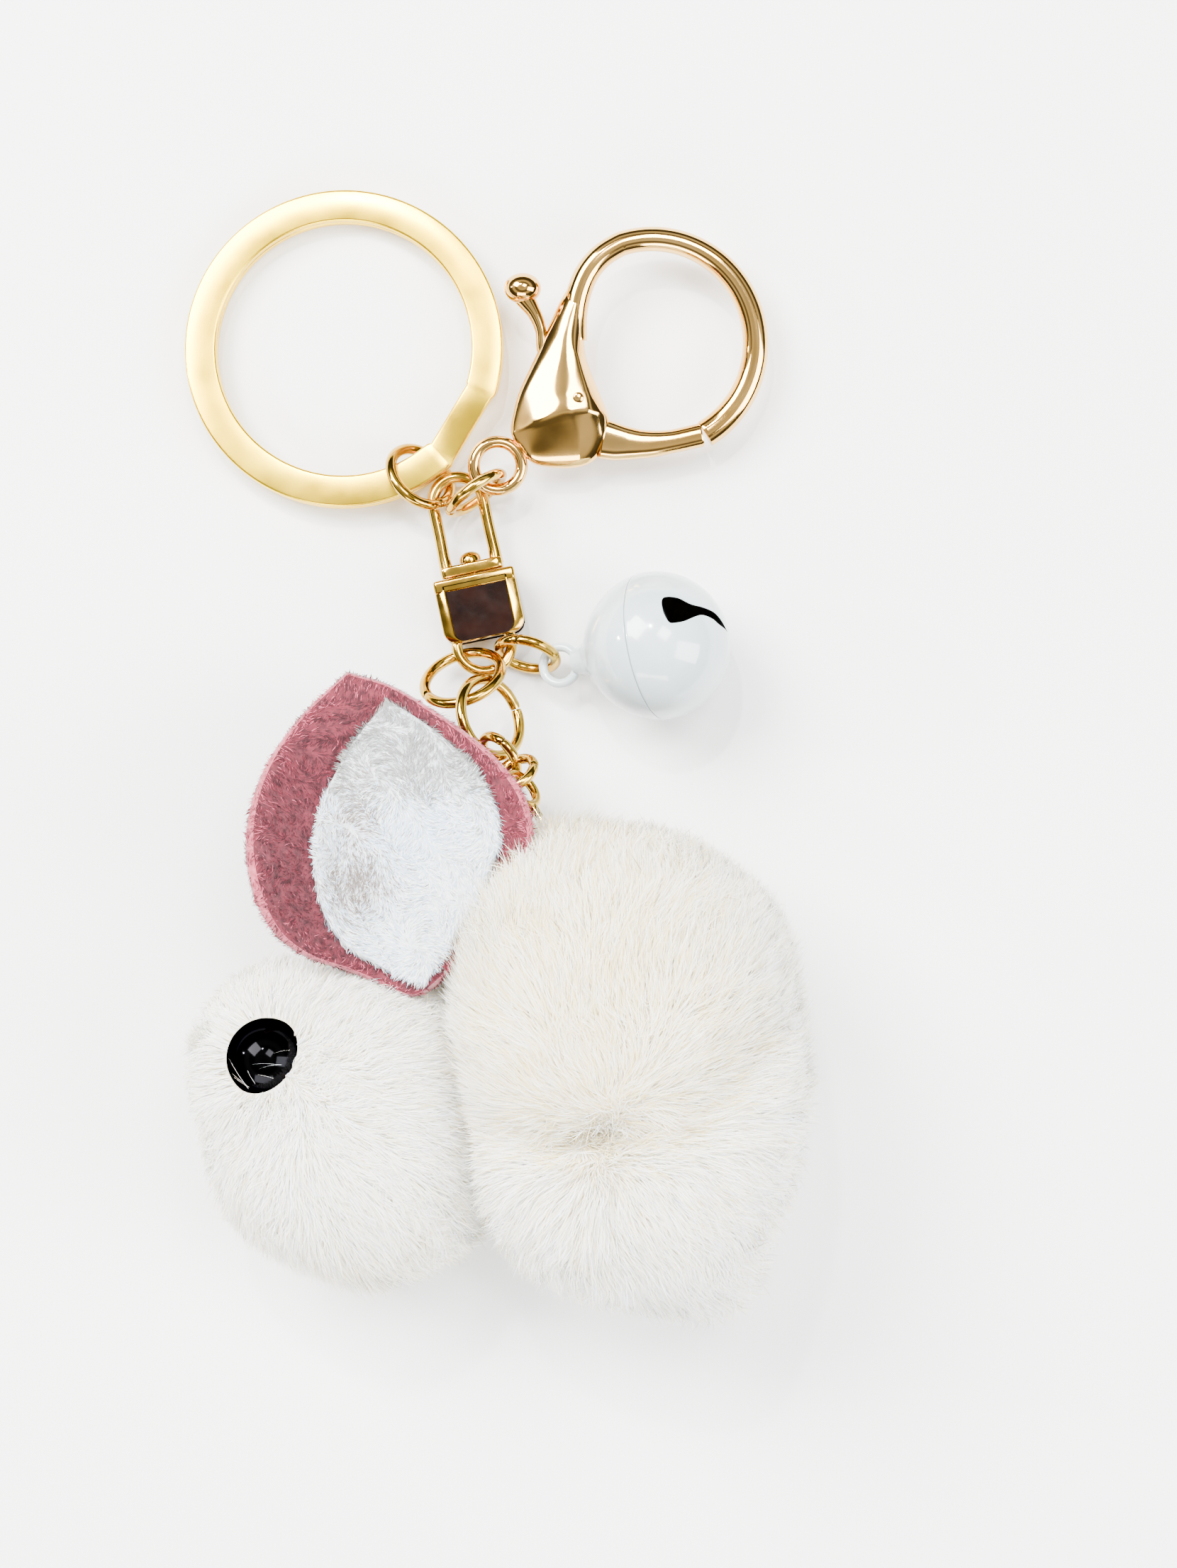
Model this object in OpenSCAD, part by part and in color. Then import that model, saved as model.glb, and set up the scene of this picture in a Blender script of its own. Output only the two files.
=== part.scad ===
// Plush keychain lying on its side: a long-eared plush charm on a short chain,
// with a bell, a swivel, a trigger clasp and a flat split key ring.
// Millimetres. +Y runs from the plush up to the key ring, +Z is up off the table.

/* [Key ring] */
// Outer diameter of the split key ring
key_ring_d = 35; // [30:0.5:38]
// Width of the flat band
key_band_w = 3.45; // [3:0.05:3.8]
// Thickness of one turn of the band
key_turn_t = 1.1; // [0.9:0.05:1.2]

/* [Wire] */
// Wire diameter of the jump rings and the large links
link_wire_d = 1.2; // [1:0.05:1.2]
// Wire diameter of the two small links
small_wire_d = 1.1; // [0.9:0.05:1.1]

/* [Swivel] */
// Inside width of the bail loop
bail_inside_w = 4.2; // [3.8:0.1:4.6]
// Centreline height of the bail loop
bail_h = 10.18; // [9.9:0.02:10.4]
// Outside width of the stirrup
stirrup_w = 9.4; // [9:0.1:10]
// Gap between the stirrup's two walls
stirrup_gap = 3.4; // [3.2:0.1:3.6]

/* [Trigger clasp] */
// Thickness of the cast body at the pivot
clasp_t = 4.2; // [3.8:0.1:4.6]
// Wire diameter of the hook
hook_d = 2.8; // [2.4:0.1:3]
// Radius of the hook's centreline
hook_r = 11.3; // [11:0.1:11.6]
// Diameter of the thumb ball on the lever
thumb_d = 3.6; // [3:0.1:3.8]

/* [Bell] */
// Outside diameter of the bell
bell_d = 16; // [15:0.2:16]
// Wall thickness of the bell
bell_wall = 0.6; // [0.5:0.05:0.8]
// Diameter of the pellet inside
pellet_d = 4.6; // [3:0.1:5]

/* [Plush] */
// Width of the plush body
body_w = 35; // [33:0.5:35]
// Length of the plush body
body_l = 52; // [48:0.5:52]
// Thickness of the plush body
body_t = 36; // [33:0.5:36]
// Width of the plush head
head_w = 30; // [28:0.5:30]
// Length of the plush head
head_l = 36; // [34:0.5:37]
// Thickness of the plush head
head_t = 31; // [29:0.5:31]
// Thickness of the pile fabric
cover_t = 3; // [2:0.25:4]
// Diameter of an eye
eye_d = 8.2; // [7:0.1:9]

/* [Ears] */
// Length of an ear from its base to its tip
ear_l = 34; // [32:0.5:34]
// Greatest width of an ear
ear_w = 27.6; // [24:0.2:28]
// Thickness of the pink felt
ear_back_t = 1.2; // [0.8:0.1:1.4]
// Thickness of the white felt
ear_front_t = 0.9; // [0.6:0.1:1]

/* [Hidden] */

gold = [0.91, 0.80, 0.55];
pale_gold = [0.90, 0.87, 0.72];
white_paint = [0.90, 0.94, 0.96];
white_pile = [0.94, 0.94, 0.92];
stuffing = [0.97, 0.97, 0.96];
pink_felt = [0.87, 0.60, 0.64];
white_felt = [0.90, 0.92, 0.92];
black_gloss = [0.02, 0.02, 0.025];

$fn = 64;

// The whole keychain is placed so that its box is centred on the origin.
row_shift = [10.22, -4.66, 0];

// Places of the rings: centre, lean from level, direction of the lean.
key_ring_at = [-26.85, 47.81, 2.24];
key_ring_lean = [2.8, 125];

// A ring's frame: its axis leans from vertical by lean[0] towards the heading lean[1].
module placed(at, lean) {
    translate(row_shift + at)
        rotate([0, lean[0], lean[1]])
            rotate([0, 0, -lean[1]])
                children();
}

// A closed wire ring around the local Z axis.
module wire_ring(centre_r, wire_d) {
    rotate_extrude()
        translate([centre_r, 0])
            circle(d = wire_d, $fn = 32);
}

// ---------------------------------------------------------------- key ring

key_gap = 0.1;
key_step_from = -48;
key_step_angle = 31;
key_centre_r = (key_ring_d - key_band_w) / 2;
key_chamfer = 0.2;

// Section of one turn of the flat band, with its lower edge at local height z.
module band_section(z) {
    half = key_band_w / 2;
    c = key_chamfer;
    translate([key_centre_r, z])
        polygon([[-half, c], [-half + c, 0], [half - c, 0], [half, c],
                 [half, key_turn_t - c], [half - c, key_turn_t], [c - half, key_turn_t],
                 [-half, key_turn_t - c]]);
}

module band_turn(z) {
    rotate([0, 0, key_step_from + key_step_angle])
        rotate_extrude(angle = 360 - key_step_angle, $fn = 128)
            band_section(z);
}

// The straight crank that joins the two turns, cut a little inside the band's section.
module band_crank(low, high) {
    reach = key_centre_r * sin(key_step_angle / 2);
    inset = 0.06;
    lap = 0.5;
    rotate([0, 0, key_step_from + key_step_angle / 2])
        translate([key_centre_r * cos(key_step_angle / 2), 0, 0])
            rotate([90, 0, 90])
                linear_extrude(key_band_w - 0.5, center = true)
                    polygon([[-reach - lap, low + inset], [-reach, low + inset], [reach, high + inset],
                             [reach + lap, high + inset], [reach + lap, high + key_turn_t - inset],
                             [reach, high + key_turn_t - inset], [-reach, low + key_turn_t - inset],
                             [-reach - lap, low + key_turn_t - inset]]);
}

module key_ring() {
    low = -key_turn_t - key_gap / 2;
    high = key_gap / 2;
    color(gold)
        placed(key_ring_at, key_ring_lean) {
            band_turn(low);
            band_turn(high);
            band_crank(low, high);
        }
}

// --------------------------------------------------- jump rings and links

large_r = 4.3;
round_r = 3;
small_r = 2.5;
last_r = 2.3;

key_jump_r = 3.71;
key_jump_at = [-18.4, 33.69, 3.27];
key_jump_lean = [46.03, 41.86];

clasp_jump_r = 3.4;
clasp_jump_at = [-12.26, 31.78, 4.47];
clasp_jump_lean = [82.8, -54.83];

stirrup_link_at = [-11.42, 15.32, 3.48];
stirrup_link_lean = [6.8, 67.9];

upper_link_at = [-13.68, 11.55, 5.76];
upper_link_lean = [52, 110];

lower_link_at = [-10.58, 7.18, 8.16];
lower_link_lean = [49.9, 20.5];

small_link_at = [-9.53, 2.99, 8.9];
small_link_lean = [57.5, -142.1];

last_link_at = [-7.87, 1.11, 10.8];
last_link_lean = [57.9, 121.4];

bell_link_r = 3.2;
bell_link_at = [-6.7, 14.2, 3.6];
bell_link_lean = [65, -104];

module key_jump_ring() {
    color(gold)
        placed(key_jump_at, key_jump_lean)
            wire_ring(key_jump_r, link_wire_d);
}

module clasp_jump_ring() {
    color(gold)
        placed(clasp_jump_at, clasp_jump_lean)
            wire_ring(clasp_jump_r, link_wire_d);
}

module stirrup_link() {
    color(gold)
        placed(stirrup_link_at, stirrup_link_lean)
            wire_ring(round_r, link_wire_d);
}

module upper_link() {
    color(gold)
        placed(upper_link_at, upper_link_lean)
            wire_ring(large_r, link_wire_d);
}

module lower_link() {
    color(gold)
        placed(lower_link_at, lower_link_lean)
            wire_ring(large_r, link_wire_d);
}

module small_link() {
    color(gold)
        placed(small_link_at, small_link_lean)
            wire_ring(small_r, small_wire_d);
}

module last_link() {
    color(gold)
        placed(last_link_at, last_link_lean)
            wire_ring(last_r, small_wire_d);
}

module bell_link() {
    color(gold)
        placed(bell_link_at, bell_link_lean)
            wire_ring(bell_link_r, link_wire_d);
}

// ------------------------------------------------------------ trigger clasp
// Local origin at the centre of the eye, with the body and hook towards +X.

clasp_at = [-9.9, 34.7, 4.9];
clasp_lean = [7, -50];
clasp_eye_r = 2.6;
clasp_eye_wire_d = 1.4;
pivot = [8.5, 5.4];
pivot_r = 0.7;
pivot_clearance = 0.05;
rivet_head_r = 1.1;
rivet_head_t = 0.2;
hook_centre = [16.9, 13.3];
hook_from = -52;
hook_to = 148;
slot_t = 2.2;
slot_r = 5.2;
lever_low = -1;
lever_t = 1.3;
lever_hub_r = 2.4;
thumb_at = [2.7, 19.3];
gate_tip_r = 14.2;
gate_d = 2.2;
gate_root_x = 13.9;
spring_wire_d = 0.3;
spring_r = 1.3;

module at_pivot() {
    translate([pivot.x, pivot.y, 0])
        children();
}

module clasp_plate_outline() {
    polygon([[2.4, 2.3], [3.4, -0.6], [6.6, -1.3], [9.8, -0.8], [11.6, 1.2], [12.6, 3.6], [12.6, 5.4],
             [11.6, 8], [10.2, 11], [9.4, 14], [9.3, 16.6], [9.9, 19.2], [7.6, 20.4], [5.9, 18.2],
             [5, 15.6], [3.9, 13], [2.3, 9.8], [1.3, 6.6], [1.5, 4]]);
}

// Where the lever sweeps between the clasp's two plates.
module clasp_slot() {
    linear_extrude(slot_t, center = true) {
        translate(pivot)
            circle(slot_r);
        polygon([pivot, [-4, 7], [-3, 16], [5.2, 16.4], [8.2, 13]]);
        polygon([pivot, [16, -1], [17, 12], [9, 10]]);
    }
}

module clasp_body() {
    color(pale_gold)
        placed(clasp_at, clasp_lean)
            difference() {
                union() {
                    wire_ring(clasp_eye_r, clasp_eye_wire_d);
                    linear_extrude(clasp_eye_wire_d, center = true)
                        polygon([[0.8, 2.4], [2.3, 0.4], [2.4, -1.6], [5, -0.8], [3, 4]]);
                    linear_extrude(clasp_t, center = true)
                        intersection() {
                            clasp_plate_outline();
                            difference() {
                                translate([0, -5])
                                    square(30);
                                circle(3.4);
                            }
                        }
                    translate([hook_centre.x, hook_centre.y, 0]) {
                        rotate([0, 0, hook_from])
                            rotate_extrude(angle = hook_to - hook_from, $fn = 96)
                                translate([hook_r, 0])
                                    circle(d = hook_d, $fn = 32);
                    }
                }
                clasp_slot();
                at_pivot()
                    cylinder(r = pivot_r, h = 2 * clasp_t, center = true);
            }
}

module clasp_rivet() {
    color(pale_gold)
        placed(clasp_at, clasp_lean)
            at_pivot() {
                cylinder(r = pivot_r, h = clasp_t, center = true);
                for (side = [-1, 1])
                    translate([0, 0, side * (clasp_t + rivet_head_t) / 2])
                        cylinder(r = rivet_head_r, h = rivet_head_t, center = true);
            }
}

module clasp_lever() {
    gate_angle = -4.5;
    color(pale_gold)
        placed(clasp_at, clasp_lean)
            difference() {
                union() {
                    translate([0, 0, lever_low])
                        linear_extrude(lever_t) {
                            translate(pivot)
                                circle(lever_hub_r);
                            polygon([[7, 7.2], [5.4, 9.6], [3.6, 12.8], [2.2, 16.2], [1.9, 19],
                                     [3.5, 19], [4.5, 15.8], [6.2, 12.4], [8.3, 9.4], [9.6, 7.4]]);
                            polygon([[8.6, 7.7], [11.2, 6.4], [gate_root_x + 0.6, 5.6],
                                     [gate_root_x + 0.6, 3.4], [11.6, 2.6], [9.4, 3.1]]);
                        }
                    at_pivot()
                        rotate([0, 0, gate_angle])
                            translate([gate_root_x - pivot.x, 0, 0])
                                rotate([0, 90, 0])
                                    cylinder(d = gate_d, h = gate_tip_r + pivot.x - gate_root_x, $fn = 32);
                    translate([thumb_at.x, thumb_at.y, 0])
                        sphere(d = thumb_d, $fn = 48);
                }
                at_pivot()
                    cylinder(r = pivot_r + pivot_clearance, h = 2 * clasp_t, center = true);
            }
}

// Two turns around the rivet, above the lever's hub.
module clasp_spring() {
    color(pale_gold)
        placed(clasp_at, clasp_lean)
            at_pivot()
                for (turn = [0, 1])
                    translate([0, 0, lever_low + lever_t + 0.22 + turn * spring_wire_d])
                        wire_ring(spring_r, spring_wire_d);
}

// ------------------------------------------------------------------ swivel
// Local Y is the swivel's axis; the bail is towards +Y and the stirrup towards -Y.

swivel_at = [-12.6, 22.8, 2.6];
swivel_turn = 12;
bail_wire_d = 1.3;
bail_half = (bail_inside_w + bail_wire_d) / 2;
plate_gap = 0.3;
bail_plate_t = 1.25;
bail_plate_depth = 2.6;
shank_r = 0.75;
shank_clearance = 0.05;
swivel_head_r = 1.2;
swivel_head_t = 0.9;
stirrup_h = 7;
stirrup_top_t = 1.2;
stirrup_wall_t = 0.8;
stirrup_corner_r = 1.6;
cross_pin_r = 0.6;
cross_pin_at = [-0.3, -5.9];

module on_swivel() {
    translate(row_shift + swivel_at)
        rotate([0, 0, swivel_turn])
            children();
}

// A cylinder along local Y, from y = from upwards.
module along_y(r, h, from) {
    translate([0, from, 0])
        rotate([-90, 0, 0])
            cylinder(r = r, h = h);
}

module swivel_bail() {
    base_y = plate_gap;
    top_y = base_y + bail_plate_t / 2 + bail_h - bail_half;
    color(gold)
        on_swivel()
            difference() {
                union() {
                    for (side = [-1, 1])
                        translate([side * bail_half, 0, 0])
                            along_y(bail_wire_d / 2, top_y - base_y, base_y);
                    translate([0, top_y, 0])
                        rotate_extrude(angle = 180, $fn = 96)
                            translate([bail_half, 0])
                                circle(d = bail_wire_d, $fn = 32);
                    translate([-bail_half - bail_wire_d / 2, base_y, -bail_plate_depth / 2])
                        cube([2 * bail_half + bail_wire_d, bail_plate_t, bail_plate_depth]);
                }
                along_y(shank_r + shank_clearance, 2 * bail_plate_t, 0);
            }
}

module swivel_rivet() {
    head_y = plate_gap + bail_plate_t + 0.1;
    color(gold)
        on_swivel() {
            along_y(shank_r, head_y + stirrup_top_t + 0.2, -stirrup_top_t - 0.2);
            along_y(swivel_head_r, swivel_head_t, head_y);
            along_y(swivel_head_r, 0.5, -stirrup_top_t - 0.5);
        }
}

// Outline of a stirrup wall, square at the top and rounded at the free corners.
module stirrup_outline() {
    inner = stirrup_w / 2 - stirrup_corner_r;
    translate([-stirrup_w / 2, stirrup_corner_r - stirrup_h])
        square([stirrup_w, stirrup_h - stirrup_corner_r]);
    translate([-inner, -stirrup_h])
        square([2 * inner, stirrup_corner_r]);
    for (side = [-1, 1])
        translate([side * inner, stirrup_corner_r - stirrup_h])
            circle(stirrup_corner_r);
}

module swivel_stirrup() {
    outer_depth = stirrup_gap + 2 * stirrup_wall_t;
    color(gold)
        on_swivel()
            difference() {
                union() {
                    translate([-stirrup_w / 2, -stirrup_top_t, -outer_depth / 2])
                        cube([stirrup_w, stirrup_top_t, outer_depth]);
                    for (side = [-1, 1])
                        translate([0, 0, side * (stirrup_gap + stirrup_wall_t) / 2])
                            linear_extrude(stirrup_wall_t, center = true)
                                stirrup_outline();
                    translate([cross_pin_at.x, cross_pin_at.y, 0])
                        cylinder(r = cross_pin_r, h = stirrup_gap + stirrup_wall_t, center = true);
                }
                along_y(shank_r, 3 * stirrup_top_t, -2 * stirrup_top_t);
            }
}

// -------------------------------------------------------------------- bell
// Local origin at the centre of the bell's loop, with local X along its axis towards the ball.

bell_loop_at = [-3.1, 13, 4];
bell_centre = [7.3, 14.9, 8];
bell_loop_roll = -5;
bell_loop_r = 2;
bell_loop_wire_d = 1;
bell_neck_r = 1.6;
bell_seam = 1.2;
bell_slot_w = 1.2;
bell_slot_hole_r = 2.2;
bell_slot_roll = -35;

bell_axis = bell_centre - bell_loop_at;
bell_reach = norm(bell_axis);
bell_heading = atan2(bell_axis.y, bell_axis.x);
bell_rise = asin(bell_axis.z / bell_reach);

module on_bell() {
    translate(row_shift + bell_loop_at)
        rotate([0, 0, bell_heading])
            rotate([0, -bell_rise, 0])
                children();
}

// Revolve a profile drawn as [radius, distance along the bell's axis].
module along_bell() {
    rotate([0, 90, 0])
        rotate_extrude($fn = 96)
            children();
}

// Half of the ball's wall: side is -1 for the half at the loop, 1 for the far half.
module bell_half_profile(side) {
    intersection() {
        difference() {
            translate([0, bell_reach])
                circle(d = bell_d, $fn = 96);
            translate([0, bell_reach])
                circle(d = bell_d - 2 * bell_wall, $fn = 96);
        }
        translate([0, side > 0 ? bell_reach - bell_seam : 0])
            square([bell_d, side > 0 ? bell_d : bell_reach - bell_seam]);
    }
}

module bell_top() {
    neck_from = bell_loop_r + bell_loop_wire_d / 2 - 0.3;
    color(white_paint)
        on_bell() {
            along_bell() {
                bell_half_profile(-1);
                translate([0, neck_from])
                    square([bell_neck_r, bell_reach - bell_d / 2 - neck_from + 0.4]);
            }
            rotate([bell_loop_roll, 0, 0])
                wire_ring(bell_loop_r, bell_loop_wire_d);
        }
}

module bell_bottom() {
    color(white_paint)
        on_bell()
            difference() {
                along_bell()
                    bell_half_profile(1);
                rotate([bell_slot_roll, 0, 0]) {
                    translate([bell_reach + 2, -bell_slot_w / 2, 0.9])
                        cube([bell_d, bell_slot_w, bell_d]);
                    translate([bell_reach + 2.6, 0, 0])
                        cylinder(r = bell_slot_hole_r, h = bell_d);
                }
            }
}

module bell_pellet() {
    rest = bell_d / 2 - bell_wall - pellet_d / 2 - 0.1;
    color(gold)
        translate(row_shift + bell_centre - [0, 0, rest])
            sphere(d = pellet_d, $fn = 48);
}

// ------------------------------------------------------------------- plush

body_at = [6.3, -30, 18];
head_at = [-27.3, -35.5, 15.6];
stuffing_gap = 0.05;
soft_fn = 40;

// An egg-shaped solid of the given size about its own centre.
module egg(size) {
    scale(size)
        sphere(d = 1, $fn = soft_fn);
}

// The seam, on the local +X side, is turned by the given angle to face away from the neck.
module cover(at, size, turn) {
    translate(row_shift + at)
        rotate([0, 0, turn])
            difference() {
                egg(size);
                egg(size - 2 * cover_t * [1, 1, 1]);
            }
}

module filling(at, size) {
    translate(row_shift + at)
        egg(size - 2 * (cover_t + stuffing_gap) * [1, 1, 1]);
}

body_size = [body_w, body_l, body_t];
head_size = [head_w, head_l, head_t];

// The anchor's eye stands on a shank in the eye's own plane, which runs into the body.
anchor_at = [-7.1, -0.6, 12.9];
anchor_lean = [60, 42];
anchor_turn = -65;
anchor_r = 2;
anchor_wire_d = 1;
anchor_shank_end = 18;
washer_r = 3.5;
washer_t = 0.8;
washer_from = 16;

// Local X runs from the anchor's eye into the body.
module on_anchor() {
    placed(anchor_at, anchor_lean)
        rotate([0, 0, anchor_turn])
            children();
}

module along_x(r, h, from) {
    translate([from, 0, 0])
        rotate([0, 90, 0])
            cylinder(r = r, h = h);
}

module anchor_eye() {
    color(gold) {
        on_anchor()
            wire_ring(anchor_r, anchor_wire_d);
        on_anchor()
            along_x(anchor_wire_d / 2, anchor_shank_end - anchor_r, anchor_r);
    }
}

module anchor_washer() {
    color(gold)
        on_anchor()
            difference() {
                along_x(washer_r, washer_t, washer_from);
                along_x(anchor_wire_d / 2, 3 * washer_t, washer_from - washer_t);
            }
}

neck_r = 4;
neck_from = 13.6;
neck_to = 18;

// Thread wound between the two balls, from inside one cover to inside the other.
module neck_stitching() {
    reach = body_at - head_at;
    color(stuffing)
        translate(row_shift + head_at)
            rotate([0, acos(reach.z / norm(reach)), atan2(reach.y, reach.x)])
                translate([0, 0, neck_from])
                    cylinder(r = neck_r, h = neck_to - neck_from);
}

module body_cover() {
    color(white_pile)
        difference() {
            cover(body_at, body_size, 0);
            neck_stitching();
            on_anchor()
                along_x(anchor_wire_d / 2, anchor_shank_end, 0);
        }
}

module body_stuffing() {
    color(stuffing)
        difference() {
            filling(body_at, body_size);
            on_anchor() {
                along_x(anchor_wire_d / 2, anchor_shank_end, 0);
                along_x(washer_r, washer_t, washer_from);
            }
        }
}

// ------------------------------------------------------------------- eyes

eye_washer_r = 2.4;
eye_washer_t = 0.6;
eye_washer_depth = 4.4;
eye_stem_r = 0.8;
eye_stem_l = 5;

// Centre of the near eye's dome on the head, and the direction that it faces.
eye_place = [-34.1, -26.6];
eye_height = sqrt(1 - pow((eye_place.x - head_at.x) / head_w * 2, 2)
                    - pow((eye_place.y - head_at.y) / head_l * 2, 2)) * head_t / 2;
eye_normal = [(eye_place.x - head_at.x) / pow(head_w, 2), (eye_place.y - head_at.y) / pow(head_l, 2),
              eye_height / pow(head_t, 2)];
eye_heading = atan2(eye_normal.y, eye_normal.x);
eye_lean = acos(eye_normal.z / norm(eye_normal));

// Local Z points out of the head; side is 1 for the near eye and -1 for the far one.
module on_eye(side) {
    translate(row_shift + head_at)
        mirror([0, 0, side > 0 ? 0 : 1])
            translate([eye_place.x - head_at.x, eye_place.y - head_at.y, eye_height])
                rotate([0, eye_lean, eye_heading])
                    children();
}

module eye() {
    color(black_gloss) {
        intersection() {
            translate([0, 0, 1.2 - eye_d / 2])
                sphere(d = eye_d, $fn = 64);
            translate([0, 0, -0.8])
                cylinder(d = eye_d, h = eye_d);
        }
        translate([0, 0, -eye_stem_l])
            cylinder(r = eye_stem_r, h = eye_stem_l);
    }
}

module eye_washer() {
    color(black_gloss)
        translate([0, 0, -eye_washer_depth])
            difference() {
                cylinder(r = eye_washer_r, h = eye_washer_t);
                translate([0, 0, -eye_washer_t])
                    cylinder(r = eye_stem_r, h = 3 * eye_washer_t);
            }
}

module near_eye() { on_eye(1) eye(); }
module far_eye() { on_eye(-1) eye(); }
module near_eye_washer() { on_eye(1) eye_washer(); }
module far_eye_washer() { on_eye(-1) eye_washer(); }

// -------------------------------------------------------------------- head

module in_both_eyes() {
    for (side = [-1, 1])
        on_eye(side)
            children();
}

module head_cover() {
    color(white_pile)
        difference() {
            cover(head_at, head_size, 180);
            neck_stitching();
            in_both_eyes()
                eye();
        }
}

module head_stuffing() {
    color(stuffing)
        difference() {
            filling(head_at, head_size);
            in_both_eyes() {
                eye();
                eye_washer();
            }
        }
}

// -------------------------------------------------------------------- ears
// Local origin at the ear's base, with the tip towards +Y and the white felt towards +Z.

near_ear_heading = 16;
far_ear_heading = 20;
near_ear_base = [-16.9, -20.9, 21.1];
near_ear_droop = 10;
near_ear_cup_r = 45;
far_ear_base = [-17.4, -21.5, 4];
far_ear_droop = 0;
far_ear_cup_r = 90;
ear_fullness = 0.87;
ear_bluntness = 0.8;
ear_front_scale = 0.82;
ear_front_from = 2;
ear_steps = 14;

function leaf_half(u) = pow(sin(180 * pow(u, ear_fullness)), ear_bluntness) / 2;
function leaf(l, w) = concat(
    [for (i = [0 : ear_steps]) [w * leaf_half(i / ear_steps), l * i / ear_steps]],
    [for (i = [ear_steps - 1 : -1 : 1]) [-w * leaf_half(i / ear_steps), l * i / ear_steps]]);

// A leaf of felt of thickness t, whose underside is on a sphere of radius outer_r.
module felt_leaf(l, w, from, outer_r, t, cup_r) {
    intersection() {
        translate([0, from, -3])
            linear_extrude(16)
                polygon(leaf(l, w));
        translate([0, ear_l / 2, cup_r])
            difference() {
                sphere(outer_r, $fn = 96);
                sphere(outer_r - t, $fn = 96);
            }
    }
}

module ear_back(cup_r) {
    felt_leaf(ear_l, ear_w, 0, cup_r + ear_back_t, ear_back_t, cup_r);
}

module ear_front(cup_r) {
    felt_leaf(ear_l * ear_front_scale, ear_w * ear_front_scale, ear_front_from, cup_r, ear_front_t, cup_r);
}

module on_near_ear() {
    translate(row_shift + near_ear_base)
        rotate([-near_ear_droop, 0, near_ear_heading])
            children();
}

module on_far_ear() {
    translate(row_shift + far_ear_base)
        rotate([far_ear_droop, 0, far_ear_heading])
            mirror([0, 0, 1])
                children();
}

module near_ear_back() {
    color(pink_felt)
        on_near_ear()
            ear_back(near_ear_cup_r);
}

module near_ear_front() {
    color(white_felt)
        on_near_ear()
            ear_front(near_ear_cup_r);
}

module far_ear_back() {
    color(pink_felt)
        on_far_ear()
            ear_back(far_ear_cup_r);
}

module far_ear_front() {
    color(white_felt)
        on_far_ear()
            ear_front(far_ear_cup_r);
}

key_ring();
key_jump_ring();
clasp_jump_ring();
clasp_body();
clasp_lever();
clasp_rivet();
clasp_spring();
swivel_bail();
swivel_rivet();
swivel_stirrup();
stirrup_link();
upper_link();
lower_link();
small_link();
last_link();
anchor_eye();
anchor_washer();
bell_link();
bell_top();
bell_bottom();
bell_pellet();
body_cover();
body_stuffing();
head_cover();
head_stuffing();
neck_stitching();
near_ear_back();
near_ear_front();
far_ear_back();
far_ear_front();
near_eye();
near_eye_washer();
far_eye();
far_eye_washer();
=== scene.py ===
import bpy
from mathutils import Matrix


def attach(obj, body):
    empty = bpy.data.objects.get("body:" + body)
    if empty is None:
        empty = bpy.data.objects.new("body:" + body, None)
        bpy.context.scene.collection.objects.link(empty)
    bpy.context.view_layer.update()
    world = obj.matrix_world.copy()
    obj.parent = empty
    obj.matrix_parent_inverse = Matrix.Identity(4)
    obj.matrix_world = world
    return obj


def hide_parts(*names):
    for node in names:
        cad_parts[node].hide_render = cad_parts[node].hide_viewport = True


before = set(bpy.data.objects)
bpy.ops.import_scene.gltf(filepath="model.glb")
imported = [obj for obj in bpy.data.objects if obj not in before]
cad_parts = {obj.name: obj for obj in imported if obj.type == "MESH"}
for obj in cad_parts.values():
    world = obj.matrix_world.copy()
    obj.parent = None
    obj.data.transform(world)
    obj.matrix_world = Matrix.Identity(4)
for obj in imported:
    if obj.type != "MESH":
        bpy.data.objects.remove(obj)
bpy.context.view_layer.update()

import math
import bmesh
import bpy
import numpy as np
from mathutils import Vector
from mathutils.kdtree import KDTree

# Lengths are design millimetres until to_metres() moves them by SHIFT and scales them by MM.
SHIFT = np.array([10.22, -4.66, 0.0])
MM = 0.001
TAU = 2 * math.pi
# The grid that plan outlines are given in: its middle, its step on the table and the height it is seen from.
GRID_X, GRID_Y, GRID_STEP, VIEW_HEIGHT = 830, 1106, 0.0786, 300


# ---- helpers

def unit(v):
    return v / np.maximum(np.linalg.norm(v, axis=-1, keepdims=True), 1e-9)


def turn(axis, degrees):
    """Rotation matrix about x, y or z."""
    a = math.radians(degrees)
    c, s = math.cos(a), math.sin(a)
    i, j = {"x": (1, 2), "y": (2, 0), "z": (0, 1)}[axis]
    m = np.eye(3)
    m[i, i] = m[j, j] = c
    m[i, j], m[j, i] = -s, s
    return m


def leaned(tilt, heading):
    """Rotation that tips z by tilt degrees towards a heading, without spin."""
    return turn("z", heading) @ turn("y", tilt) @ turn("z", -heading)


def put(points, at, rot):
    return np.asarray(points, float) @ rot.T + np.asarray(at, float)


def to_metres(points):
    return (np.asarray(points, float) + SHIFT) * MM


def new_mesh(name, verts, faces):
    me = bpy.data.meshes.new(name)
    me.from_pydata(to_metres(verts).tolist(), [], [[int(k) for k in f] for f in faces])
    return me


def make(name, shape, mats, body, nodes=(), index=None, at=None, sharp=None):
    """A piece from (verts, faces), stood in the frame at (place, rotation), that rides on a body."""
    verts, faces = shape
    if at:
        verts = put(verts, *at)
    o = finish_piece(name, new_mesh(name, verts, faces), mats, body, nodes, index)
    if sharp:
        sharpen(o, sharp)
    return o


def add_object(name, data):
    o = bpy.data.objects.new(name, data)
    bpy.context.scene.collection.objects.link(o)
    return o


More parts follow.
